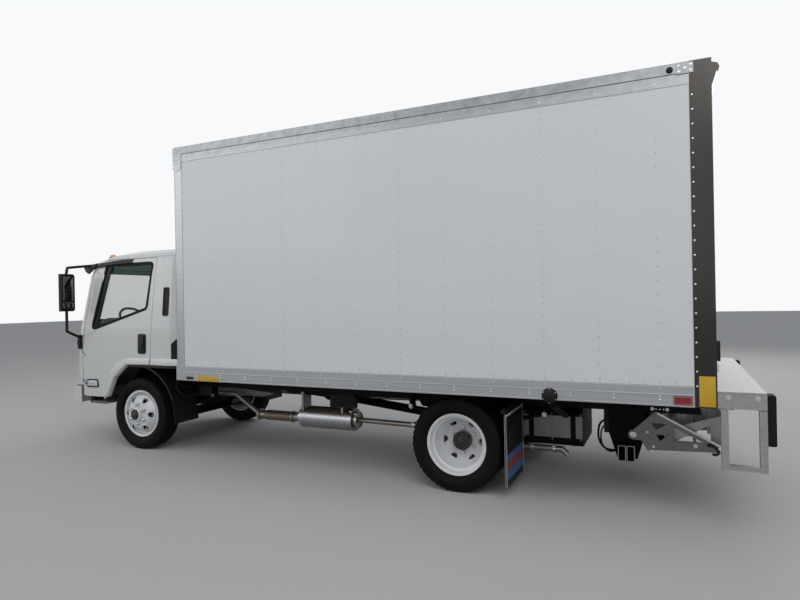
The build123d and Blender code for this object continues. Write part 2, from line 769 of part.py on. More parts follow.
# Lamps on the body: tail lamps on the posts and red side markers
with BuildPart() as body_lamps:
    block((body_rear_x - 18, body_rear_x), (body_half - 82, body_half - 12), (1178, 1308))
    block((body_rear_x + rear_post_depth + 24, body_rear_x + rear_post_depth + 124), (body_half, body_half + 10), (876, 921))
    mirror(about=Plane.XZ)
save(body_lamps, "body_lamps")

# Cab skin: plan outlines stacked from sill to roof
cab_rings = [
    # height, corner X and centre X behind the nose, half width, corner radius, rear X ahead of the back
    (560, 105, 60, 1000, 110, 0),
    (1000, 120, 65, 1010, 120, 0),
    (1370, 158, 95, 1003, 130, 0),
    (1980, 275, 205, 950, 130, 5),
    (2130, 345, 275, 925, 140, 10),
    (2210, 560, 500, 860, 150, 25),
    (2250, 900, 860, 780, 150, 60),
]
roof_rings_z = 2130
rear_corner_x = 150
rear_corner_y = 100


def corner_cut(inset):
    """What the slanted left rear corner takes off the cab's form."""
    slant = Vector(rear_corner_x, rear_corner_y).normalized()
    shift = Vector(slant.Y, -slant.X) * inset
    with BuildPart() as cut:
        for z, _, _, half, _, rear in cab_rings:
            height = z - inset if z >= roof_rings_z else z
            start = Vector(cab_rear_x + rear, half - rear_corner_y) + shift - slant * 80
            end = Vector(cab_rear_x + rear + rear_corner_x, half) + shift + slant * 80
            with BuildSketch(Plane.XY.offset(height)):
                outline([(start.X, start.Y), (end.X, end.Y), (start.X, end.Y)])
        loft(ruled=True)
    return cut.part


def cab_form(inset):
    """The cab's closed form, moved inward by inset all round."""
    with BuildPart() as form:
        for z, corner_x, centre_x, half, corner, rear in cab_rings:
            height = z - inset if z >= roof_rings_z else z
            with BuildSketch(Plane.XY.offset(height)):
                with BuildLine():
                    plan_outline(
                        cab_rear_x + rear + inset,
                        nose_x - corner_x - inset,
                        nose_x - centre_x - inset,
                        half - inset,
                        corner - inset,
                    )
                make_face()
        loft(ruled=True)
        cut = corner_cut(inset)
        add(cut, mode=Mode.SUBTRACT)
        add(mirror(cut, about=Plane.XZ), mode=Mode.SUBTRACT)
    return form.part


cab_outer = cab_form(0)
cab_inner = cab_form(cab_wall)
cab_liner = cab_form(cab_wall + running_gap)
cab_shell = cab_outer - cab_inner
glass_shell = cab_form(glass_depth) - cab_form(glass_depth + glass_thickness)

# Outlines in side view: door, door window; in front view: windscreen
door_points = [
    (nose_x - 271, 575), (nose_x - 271, 1170), (nose_x - 415, 2073), (nose_x - 470, 2155),
    (nose_x - 1395, 2155), (nose_x - 1356, 966), (nose_x - 995, 960), (nose_x - 790, 800), (nose_x - 671, 575),
]
window_points = [
    (nose_x - 612, 2098), (nose_x - 1344, 2098), (nose_x - 1287, 1591), (nose_x - 426, 1353),
]
screen_points = [(-880, 1395), (880, 1395), (815, 2085), (-815, 2085)]
rear_window = (900, 330)
rear_window_z = 1830


def side_prism(points, radius, grow=0.0):
    """A side-view outline carried out through the left side of the cab."""
    with BuildPart() as prism:
        with BuildSketch(Plane.XZ.offset(-1100)) as view:
            outline(points)
            fillet(view.vertices(), radius)
            if grow:
                offset(amount=grow, mode=Mode.REPLACE)
        extrude(amount=300)
    return prism.part


def front_prism(points, radius, grow=0.0):
    """A front-view outline carried back through the front of the cab."""
    with BuildPart() as prism:
        with BuildSketch(Plane.YZ.offset(nose_x - 700)) as view:
            outline(points)
            fillet(view.vertices(), radius)
            if grow:
                offset(amount=grow, mode=Mode.REPLACE)
        extrude(amount=700)
    return prism.part


hinge_x = nose_x - 269
hinge_y = 1013
hinge_places = (740, 1070)
hinge_half = 30
knuckle_r = 10
hinge_pin_r = 5
hinge_room = 12


def hinge_leaf(x, z_low, z_high):
    """A hinge leaf and its knuckle on the skin of the cab's left side."""
    block(x, (960, hinge_y + 3), (z_low, z_high))
    rod((hinge_x, hinge_y, z_low), (hinge_x, hinge_y, z_high), knuckle_r)


with BuildPart() as cab_hinges:
    for z in hinge_places:
        hinge_leaf((hinge_x, hinge_x + 42), z, z + hinge_half)
    add(cab_outer, mode=Mode.SUBTRACT)
    for z in hinge_places:
        rod((hinge_x, hinge_y, z - hinge_half), (hinge_x, hinge_y, z + 1), hinge_pin_r)

with BuildPart() as door_hinges:
    for z in hinge_places:
        hinge_leaf((hinge_x - 42, hinge_x), z - hinge_half, z - running_gap)
    add(cab_outer, mode=Mode.SUBTRACT)
    for z in hinge_places:
        rod((hinge_x, hinge_y, z - 40), (hinge_x, hinge_y, z + 5), hinge_pin_r + running_gap, mode=Mode.SUBTRACT)

with BuildPart() as hinge_pockets:
    for z in hinge_places:
        rod((hinge_x, hinge_y, z - hinge_half - 2), (hinge_x, hinge_y, z + hinge_half + 2), hinge_room)

door_prism = side_prism(door_points, 30)
door_opening = side_prism(door_points, 30, door_gap)
door_opening_right = mirror(door_opening, about=Plane.XZ)
hinge_pockets_right = mirror(hinge_pockets.part, about=Plane.XZ)
cab_hinges_right = mirror(cab_hinges.part, about=Plane.XZ)
window_opening = side_prism(window_points, 50)
window_pane = side_prism(window_points, 50, -running_gap)
screen_opening = front_prism(screen_points, 70)
screen_pane = front_prism(screen_points, 70, -running_gap)
lamp_points = [(600, 760), (905, 760), (905, 880), (600, 880)]
lamp_opening = front_prism(lamp_points, 20)
lamp_opening_right = mirror(lamp_opening, about=Plane.XZ)
lamp_body = front_prism(lamp_points, 20, -running_gap)

with BuildPart() as cab_front_panel:
    add(cab_shell)
    block((nose_x - 900, nose_x), (-1100, 1100), (cab_panel_bottom_z, cab_split_z), mode=Mode.INTERSECT)
    block((nose_x - 901, nose_x - 300), (-1100, 1100), (cab_panel_bottom_z - 1, 1200), mode=Mode.SUBTRACT)
    for cut in (door_opening, door_opening_right, screen_opening, lamp_opening, lamp_opening_right):
        add(cut, mode=Mode.SUBTRACT)
    add(hinge_pockets.part, mode=Mode.SUBTRACT)
    add(hinge_pockets_right, mode=Mode.SUBTRACT)
    add(cab_hinges.part)
    add(cab_hinges_right)
save(cab_front_panel, "cab_front_panel")

with BuildPart() as cab_back_panel:
    add(cab_shell)
    block((cab_rear_x - 10, nose_x - 900), (-1100, 1100), (cab_rear_bottom_z, cab_split_z), mode=Mode.INTERSECT)
    for cut in (door_opening, door_opening_right):
        add(cut, mode=Mode.SUBTRACT)
    with BuildSketch(Plane.YZ.offset(cab_rear_x - 10)):
        with Locations((0, rear_window_z)):
            RectangleRounded(*rear_window, 50)
    extrude(amount=100, mode=Mode.SUBTRACT)
save(cab_back_panel, "cab_back_panel")

with BuildPart() as cab_roof:
    add(cab_shell)
    block((cab_rear_x - 10, nose_x), (-1100, 1100), (cab_split_z, 2300), mode=Mode.INTERSECT)
save(cab_roof, "cab_roof")

with BuildPart() as cab_glass:
    add(glass_shell)
    add(screen_pane, mode=Mode.INTERSECT)
    with BuildSketch(Plane.YZ.offset(cab_rear_x + 16)):
        with Locations((0, rear_window_z)):
            RectangleRounded(rear_window[0] - 0.6, rear_window[1] - 0.6, 50)
    extrude(amount=glass_thickness)
save(cab_glass, "cab_glass")

with BuildPart() as door_left:
    add(cab_shell)
    add(door_prism, mode=Mode.INTERSECT)
    add(window_opening, mode=Mode.SUBTRACT)
    add(hinge_pockets.part, mode=Mode.SUBTRACT)
    add(door_hinges.part)
save(door_left, "door_left")
save(mirrored(door_left), "door_right")

with BuildPart() as door_glass_left:
    add(glass_shell)
    add(window_pane, mode=Mode.INTERSECT)
save(door_glass_left, "door_glass_left")
save(mirrored(door_glass_left), "door_glass_right")

# Cab floor with seat riser, engine hump, step wells and tilt arms
riser_top_z = 1180
riser_x = (cab_rear_x + 110, cab_rear_x + 930)
hump_front_x = cab_rear_x + 1140
hump_half = 330
plate = 18
well_x = (nose_x - 640, nose_x - 275)
well_y = (640, 955)
floor_bottom_z = cab_floor_z - cab_floor_thickness
riser_hollow_x = (riser_x[0] + plate, riser_x[1] - plate)
hump_hollow_x = (riser_x[1] - 60, hump_front_x - plate)
with BuildPart() as seat_riser:
    block(riser_x, (-1100, 1100), (cab_floor_z, riser_top_z))
    block((riser_x[1] - 50, hump_front_x), (-hump_half, hump_half), (cab_floor_z, riser_top_z))
    add(cab_liner, mode=Mode.INTERSECT)
    block(riser_hollow_x, (plate - 940, 940 - plate), (cab_floor_z - 1, riser_top_z - plate), mode=Mode.SUBTRACT)
    block(
        hump_hollow_x,
        (plate - hump_half, hump_half - plate),
        (cab_floor_z - 1, riser_top_z - plate),
        mode=Mode.SUBTRACT,
    )
save(seat_riser, "seat_riser")


with BuildPart() as cab_floor:
    block((cab_rear_x, nose_x), (-1100, 1100), (floor_bottom_z, cab_floor_z))
    add(cab_liner, mode=Mode.INTERSECT)
    block(riser_hollow_x, (plate - 940, 940 - plate), (floor_bottom_z - 1, cab_floor_z + 1), mode=Mode.SUBTRACT)
    block(
        hump_hollow_x,
        (plate - hump_half, hump_half - plate),
        (floor_bottom_z - 1, cab_floor_z + 1),
        mode=Mode.SUBTRACT,
    )
    for side in (1, -1):
        block(well_x, strip_y(side, well_y[0] + plate, 1000), (cab_floor_z - 60, cab_floor_z + 1), mode=Mode.SUBTRACT)
        block(well_x, strip_y(side, well_y[0], well_y[0] + plate), (cab_side_bottom_z + 5, cab_floor_z))
        block((well_x[0], well_x[0] + plate), strip_y(side, *well_y), (cab_side_bottom_z + 5, cab_floor_z))
        block(well_x, strip_y(side, *well_y), (cab_side_bottom_z + 5, cab_side_bottom_z + 5 + plate))
        block((well_x[0] + 60, well_x[1] - 40), strip_y(side, 780, 950), (485, 500))
        for x in (well_x[0] + 60, well_x[1] - 52):
            block((x, x + 12), strip_y(side, 780, 950), (485, cab_side_bottom_z + 6))
        with BuildSketch(Plane.XZ.offset(-side * (ear_y + 5))):
            outline([
                (nose_x - 195, floor_bottom_z + 1),
                (nose_x - 150, floor_bottom_z + 1),
                (tilt_pivot_x + 22, tilt_pivot_z + 6),
                (tilt_pivot_x - 22, tilt_pivot_z - 6),
            ])
            with Locations((tilt_pivot_x, tilt_pivot_z)):
                Circle(26)
                Circle(pivot_pin_radius + running_gap, mode=Mode.SUBTRACT)
        extrude(amount=-side * 40)
        rod(
            (tilt_pivot_x, side * ear_y, tilt_pivot_z),
            (tilt_pivot_x, side * (ear_y + 60), tilt_pivot_z),
            pivot_pin_radius + running_gap,
            mode=Mode.SUBTRACT,
        )
save(cab_floor, "cab_floor")

with BuildPart() as dashboard:
    with BuildSketch(Plane.XZ.offset(-1000)):
        outline([
            (nose_x - 100, 1180), (nose_x - 100, 1375), (nose_x - 330, 1385),
            (nose_x - 420, 1320), (nose_x - 400, 1180),
        ])
    extrude(amount=2000)
    add(cab_liner, mode=Mode.INTERSECT)
save(dashboard, "dashboard")

wheel_centre = (nose_x - 545, 480, 1440)
column_foot = (nose_x - 340, 480, 1250)
with BuildPart() as steering_wheel:
    axis_vector = Vector(*column_foot) - Vector(*wheel_centre)
    with Locations(Plane(origin=wheel_centre, z_dir=axis_vector)):
        Torus(205, 15)
        Cylinder(45, 40)
        Box(30, 400, 14)
    rod(wheel_centre, column_foot, 26)
    add(dashboard.part, mode=Mode.SUBTRACT)
save(steering_wheel, "steering_wheel")

seat_table = [
    # inner Y, outer Y
    (230, 730),
    (-780, -60),
]
cushion_top_z = riser_top_z + 140
with BuildPart() as cab_seats:
    for low_y, high_y in seat_table:
        block((cab_rear_x + 330, cab_rear_x + 850), (low_y, high_y), (riser_top_z + running_gap, cushion_top_z))
        with BuildSketch(Plane.XZ.offset(-high_y + 10)):
            outline([
                (cab_rear_x + 335, cushion_top_z + running_gap), (cab_rear_x + 455, cushion_top_z + running_gap),
                (cab_rear_x + 350, 1920), (cab_rear_x + 250, 1920),
            ])
        extrude(amount=high_y - low_y - 20)
save(cab_seats, "cab_seats")

roof_lamp_x = nose_x - 430
roof_lamp_radius = 34
with BuildPart() as roof_lamps:
    for y, top_z in ((-700, 2205), (-160, 2220), (0, 2220), (160, 2220), (700, 2205)):
        rod((roof_lamp_x, y, 2150), (roof_lamp_x, y, top_z), roof_lamp_radius)
    add(cab_outer, mode=Mode.SUBTRACT)

with BuildPart() as cab_lamps:
    add(cab_shell)
    add(lamp_body, mode=Mode.INTERSECT)
    mirror(about=Plane.XZ)
    add(roof_lamps.part)
save(cab_lamps, "cab_lamps")

mirror_x = nose_x - 241
mirror_y = 1185
arm_radius = 11
with BuildPart() as mirrors:
    with BuildSketch(Plane.XY.offset(1571)):
        with Locations((mirror_x, mirror_y)):
            RectangleRounded(60, 165, 20)
    extrude(amount=430)
    rod((mirror_x, mirror_y, 1990), (mirror_x + 5, mirror_y - 20, 2075), arm_radius)
    rod((mirror_x + 5, mirror_y - 20, 2075), (nose_x - 345, 880, 2112), arm_radius)
    rod((mirror_x, mirror_y, 1580), (mirror_x, mirror_y, 1340), arm_radius)
    rod((mirror_x, mirror_y, 1340), (nose_x - 240, 960, 1230), arm_radius)
    with Locations((mirror_x + 5, mirror_y - 20, 2075), (mirror_x, mirror_y, 1340)):
        Sphere(arm_radius)
    block((nose_x - 262, nose_x - 205), (960, 1025), (1124, 1289))
    add(cab_outer, mode=Mode.SUBTRACT)
    mirror(about=Plane.XZ)
save(mirrors, "mirrors")

# Lift mount: side plates under the frame, square torque tube and arm pins
torque_x = lift_pivot_x + 50
torque_z = 332
torque_half = 65
mount_y = (frame_half, frame_half + 12)
arm_y = (mount_y[1] + 5, mount_y[1] + 25)
lift_pin_radius = 20
ram_base = (torque_x - torque_half - 34, 0, torque_z)
with BuildPart() as lift_mount:
    with BuildSketch(Plane.XZ.offset(-mount_y[1])):
        outline([
            (lift_pivot_x + 195, frame_bottom_z + 60), (lift_pivot_x - 96, frame_bottom_z + 60),
            (lift_pivot_x - 96, lift_pivot_z + 20), (torque_x - 80, torque_z - torque_half - 4),
            (torque_x + 80, torque_z - torque_half - 4), (lift_pivot_x + 195, lift_pivot_z),
        ])
    extrude(amount=12)
    rod((lift_pivot_x, mount_y[0], lift_pivot_z), (lift_pivot_x, arm_y[1] + 12, lift_pivot_z), lift_pin_radius)
    mirror(about=Plane.XZ)
    with BuildSketch(Plane.XZ.offset(-560)):
        with Locations((torque_x, torque_z)):
            RectangleRounded(2 * torque_half, 2 * torque_half, 12)
            RectangleRounded(2 * torque_half - 20, 2 * torque_half - 20, 6, mode=Mode.SUBTRACT)
    extrude(amount=1120)
    for y in (-32, 32):
        block((ram_base[0] - 22, torque_x - torque_half), (y - 7, y + 7), (torque_z - 25, torque_z + 25))
    rod((ram_base[0], -39, torque_z), (ram_base[0], 39, torque_z), 12)
save(lift_mount, "lift_mount")

# Lift arms with the cross tube that the ram pushes
arm_end_x = lift_pivot_x - 641
arm_end_z = 394
ram_eye = (lift_pivot_x - 465, 0, lift_pivot_z - 56)
eye_pin_radius = 12
eye_play = 5
arm_outline = [
    (lift_pivot_x, lift_pivot_z + 40), (lift_pivot_x - 174, lift_pivot_z + 205), (arm_end_x - 13, arm_end_z + 26),
    (arm_end_x, arm_end_z - 28), (lift_pivot_x - 114, lift_pivot_z - 131), (lift_pivot_x - 60, lift_pivot_z - 40),
    (lift_pivot_x, lift_pivot_z - 40),
]
arm_windows = [
    # the long window between the bars, then the two small ones beside the pivot
    [(-2985, 445), (-3200, 445), (-2985, 552)],
    [(-2815, 578), (-2935, 578), (-2848, 524)],
    [(-2850, 482), (-2950, 492), (-2880, 432)],
]
with BuildPart() as lift_arms:
    with BuildSketch(Plane.XZ.offset(-arm_y[1])):
        outline(arm_outline)
        with Locations((lift_pivot_x, lift_pivot_z)):
            Circle(40)
        with Locations((arm_end_x, arm_end_z)):
            Circle(28)
        with Locations((lift_pivot_x, lift_pivot_z)):
            Circle(lift_pin_radius + running_gap, mode=Mode.SUBTRACT)
        for window in arm_windows:
            Polygon(*window, align=None, mode=Mode.SUBTRACT)
    extrude(amount=arm_y[1] - arm_y[0])
    mirror(about=Plane.XZ)
    rod((arm_end_x, -arm_y[0] - 1, arm_end_z), (arm_end_x, arm_y[0] + 1, arm_end_z), 20)
    rod((ram_eye[0], -arm_y[0] - 1, ram_eye[2]), (ram_eye[0], arm_y[0] + 1, ram_eye[2]), eye_pin_radius)
save(lift_arms, "lift_arms")

# Folded platform, carried on the end of the arms
platform_half = frame_half - 5
platform_thickness = 40
platform_low = (-2893, 515)
platform_high = (-3335, 664)
gusset_low = (-2941, 400)
bracket_top_z = 625
with BuildPart() as lift_platform:
    with BuildSketch(Plane.XZ.offset(-platform_half)):
        outline([
            platform_low, platform_high,
            (platform_high[0], platform_high[1] - platform_thickness),
            (platform_low[0], platform_low[1] - platform_thickness),
        ])
    extrude(amount=2 * platform_half)
    for side in (1, -1):
        with BuildSketch(Plane.XZ.offset(-side * platform_half)):
            outline([platform_low, platform_high, (platform_high[0] + 25, platform_high[1] - 45), gusset_low])
        extrude(amount=side * 12)
        block(
            (arm_end_x - 24, arm_end_x + 60),
            strip_y(side, 290, 310),
            (arm_end_z - 30, bracket_top_z),
        )
    rod((arm_end_x, -320, arm_end_z), (arm_end_x, 320, arm_end_z), 20 + running_gap, mode=Mode.SUBTRACT)
save(lift_platform, "lift_platform")

# Lift ram: barrel on the torque tube, rod with its eye on the cross tube
ram_run = Vector(*ram_eye) - Vector(*ram_base)
ram_way = ram_run.normalized()


def along_ram(distance):
    """A point on the ram's line, this far from its base pin."""
    return tuple(Vector(*ram_base) + ram_way * distance)


ram_travel = 72
barrel_length = 270
rod_radius = 16
with BuildPart() as ram_barrel:
    rod(along_ram(44), along_ram(barrel_length), 32)
    rod((ram_base[0], -24, ram_base[2]), (ram_base[0], 24, ram_base[2]), 24)
    rod(along_ram(5), along_ram(48), 16)
    rod((ram_base[0], -25, ram_base[2]), (ram_base[0], 25, ram_base[2]), 12 + running_gap, mode=Mode.SUBTRACT)
    rod(along_ram(50), along_ram(barrel_length + 1), rod_radius + running_gap, mode=Mode.SUBTRACT)
save(ram_barrel, "ram_barrel")

with BuildPart() as ram_rod:
    rod(along_ram(50 + ram_travel + 8), along_ram(ram_run.length - 20), rod_radius)
    rod((ram_eye[0], -18, ram_eye[2]), (ram_eye[0], 18, ram_eye[2]), eye_pin_radius + eye_play + 12)
    rod((ram_eye[0], -19, ram_eye[2]), (ram_eye[0], 19, ram_eye[2]), eye_pin_radius + eye_play, mode=Mode.SUBTRACT)
save(ram_rod, "ram_rod")
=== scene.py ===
import bpy
import bmesh
import json
import math
from mathutils import Matrix, Vector

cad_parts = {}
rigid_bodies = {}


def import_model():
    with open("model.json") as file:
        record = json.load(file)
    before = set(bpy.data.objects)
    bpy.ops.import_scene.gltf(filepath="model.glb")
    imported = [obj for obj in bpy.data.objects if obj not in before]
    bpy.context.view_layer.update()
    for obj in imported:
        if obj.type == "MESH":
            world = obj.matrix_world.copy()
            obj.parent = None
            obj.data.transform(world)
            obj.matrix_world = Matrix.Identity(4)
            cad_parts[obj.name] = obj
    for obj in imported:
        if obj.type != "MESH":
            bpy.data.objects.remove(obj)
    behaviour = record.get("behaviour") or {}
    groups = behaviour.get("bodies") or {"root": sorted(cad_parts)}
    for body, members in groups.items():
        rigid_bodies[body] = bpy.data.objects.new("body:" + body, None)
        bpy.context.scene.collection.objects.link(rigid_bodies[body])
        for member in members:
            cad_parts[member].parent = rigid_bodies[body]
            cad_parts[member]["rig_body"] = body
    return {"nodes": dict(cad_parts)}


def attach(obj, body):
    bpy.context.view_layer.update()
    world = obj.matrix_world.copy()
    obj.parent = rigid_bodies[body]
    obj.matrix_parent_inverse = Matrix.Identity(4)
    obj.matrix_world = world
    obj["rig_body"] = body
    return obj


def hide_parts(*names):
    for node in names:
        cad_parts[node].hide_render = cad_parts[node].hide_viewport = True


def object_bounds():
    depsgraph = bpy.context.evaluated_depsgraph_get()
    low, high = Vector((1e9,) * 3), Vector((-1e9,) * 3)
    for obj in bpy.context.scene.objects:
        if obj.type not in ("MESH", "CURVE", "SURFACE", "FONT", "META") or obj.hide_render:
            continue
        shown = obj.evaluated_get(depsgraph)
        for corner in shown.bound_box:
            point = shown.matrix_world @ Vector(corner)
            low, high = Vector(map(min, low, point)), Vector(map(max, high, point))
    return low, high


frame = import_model()
cad_low, cad_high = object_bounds()
NODES = frame["nodes"]

# Named places of the vehicle, in metres
NOSE = 3.599
FRONT_AXLE = 2.496
REAR_AXLE = -1.314
AXLE_Z = 0.4
BODY_FRONT = 1.651
BODY_REAR = -3.259
WALL_FRONT = 1.527
WALL_REAR = -3.121
BODY_HALF = 1.219
PANEL_LOW = 0.999
PANEL_HIGH = 3.079
CAB_MIDDLE = (2.62, 0.0, 1.55)
CAB_BACK = 1.799
SKIN_HALF = 1.215
FRAME_FACE = 0.425
ARM_FACE = 0.462
NUT_REACH = 0.111125
HAND_HOLE_REACH = 0.1725


# Materials, by name
MATERIALS = {}
COAT_ROUGHNESS = 0.06


def add_node(tree, kind, values, output=0, operation=None):
    """A new shader node: each value is set on its input, or linked to it where the value is a socket."""
    made = tree.nodes.new("ShaderNode" + kind)
    if operation:
        made.operation = operation
    for key, value in values.items():
        if isinstance(value, bpy.types.NodeSocket):
            tree.links.new(value, made.inputs[key])
        else:
            made.inputs[key].default_value = value
    return made.outputs[output]


def make_material(name, color, rough, rough_vary, vary, vary_scale, grain, metal=0.0, coat=0.0,
                  stretch=(1.0, 1.0, 1.0), dust=None, alpha=1.0, specular=0.5, sheen=0.0, wave=None,
                  edge=None, cores=(), lining=None):
    """A node material: base colour with soft variation, roughness noise, fine grain and dust by height.

    grain is (strength, scale, size) or None;
    dust is (colour, height where it is full, height where it ends, amount); wave is (scale, size);
    edge is (colour, amount); cores are (axle x, radius, least |y|, most |y|, colour) discs round an axle;
    lining is the colour of the faces that look towards the middle of the cab.
    """
    mat = bpy.data.materials.new("look_" + name)
    MATERIALS[name] = mat
    mat.use_nodes = True
    tree = mat.node_tree
    shader = tree.nodes["Principled BSDF"]
    shader.inputs["Metallic"].default_value = metal
    shader.inputs["Coat Weight"].default_value = coat
    shader.inputs["Coat Roughness"].default_value = COAT_ROUGHNESS
    shader.inputs["Specular IOR Level"].default_value = specular
    shader.inputs["Alpha"].default_value = alpha
    shader.inputs["Sheen Weight"].default_value = sheen

    def node(kind, values, output=0, operation=None):
        return add_node(tree, kind, values, output, operation)

    def math_node(operation, *values):
        return node("Math", dict(enumerate(values)), operation=operation)

    def over(under, amount, tint):
        return node("MixRGB", {"Fac": amount, "Color1": under, "Color2": [*tint, 1.0]})

    here = tree.nodes.new("ShaderNodeTexCoord").outputs
    stretched = node("Mapping", {"Vector": here["Object"], "Scale": stretch})
    cloud = node("TexNoise", {"Vector": stretched, "Scale": vary_scale, "Detail": 5.0})
    darker = [max(0.0, c * (1 - vary)) for c in color]
    lighter = [min(1.0, c * (1 + vary)) for c in color]
    top = node("MixRGB", {"Fac": cloud, "Color1": [*darker, 1.0], "Color2": [*lighter, 1.0]})
    if edge:
        edge_color, edge_amount = edge
        sharp = tree.nodes.new("ShaderNodeNewGeometry").outputs["Pointiness"]
        worn = node("MapRange", {"Value": sharp, "From Min": 0.52, "From Max": 0.62, "To Max": edge_amount})
        top = over(top, worn, edge_color)
    if dust:
        dust_color, dust_low, dust_high, dust_amount = dust
        height = node("SeparateXYZ", {"Vector": here["Object"]}, "Z")
        settled = node("MapRange", {"Value": height, "From Min": dust_high, "From Max": dust_low,
                                    "To Min": 0.0, "To Max": dust_amount})
        specks = node("TexNoise", {"Vector": here["Object"], "Scale": 14.0, "Detail": 8.0})
        top = over(top, math_node("MULTIPLY", settled, specks), dust_color)
    if cores:
        width = math_node("ABSOLUTE", node("SeparateXYZ", {"Vector": here["Object"]}, "Y"))
    for axle_x, core_radius, least, most, core_color in cores:
        arm = node("VectorMath", {0: here["Object"], 1: (axle_x, 0.0, AXLE_Z)}, operation="SUBTRACT")
        flat = node("VectorMath", {0: arm, 1: (1.0, 0.0, 1.0)}, operation="MULTIPLY")
        reach = node("VectorMath", {0: flat}, "Value", "LENGTH")
        share = math_node("LESS_THAN", reach, core_radius)
        for kind, limit in (("GREATER_THAN", least), ("LESS_THAN", most)):
            share = math_node("MULTIPLY", share, math_node(kind, width, limit))
        top = over(top, share, core_color)
    if lining:
        from_middle = node("VectorMath", {0: here["Object"], 1: CAB_MIDDLE}, operation="SUBTRACT")
        facing = node("VectorMath", {0: from_middle, 1: here["Normal"]}, "Value", "DOT_PRODUCT")
        top = over(top, math_node("LESS_THAN", facing, -0.05), lining)
    tree.links.new(top, shader.inputs["Base Color"])
    smudge = node("TexNoise", {"Vector": stretched, "Scale": vary_scale * 2.3, "Detail": 6.0})
    gloss = node("MapRange", {"Value": smudge, "To Min": max(0.02, rough - rough_vary),
                              "To Max": min(1.0, rough + rough_vary)})
    tree.links.new(gloss, shader.inputs["Roughness"])
    normal = {}
    if wave:
        swell = node("TexNoise", {"Vector": here["Object"], "Scale": wave[0], "Detail": 1.0})
        normal["Normal"] = node("Bump", {"Height": swell, "Strength": 1.0, "Distance": wave[1]})
    if grain:
        strength, grain_scale, size = grain
        fine = node("TexNoise", {"Vector": stretched, "Scale": grain_scale, "Detail": 3.0})
        normal["Normal"] = node("Bump", {"Height": fine, "Strength": strength, "Distance": size, **normal})
    if normal:
        tree.links.new(normal["Normal"], shader.inputs["Normal"])


DUST = (0.3, 0.27, 0.23)
DRUM_BLACK = (0.006, 0.006, 0.0065)

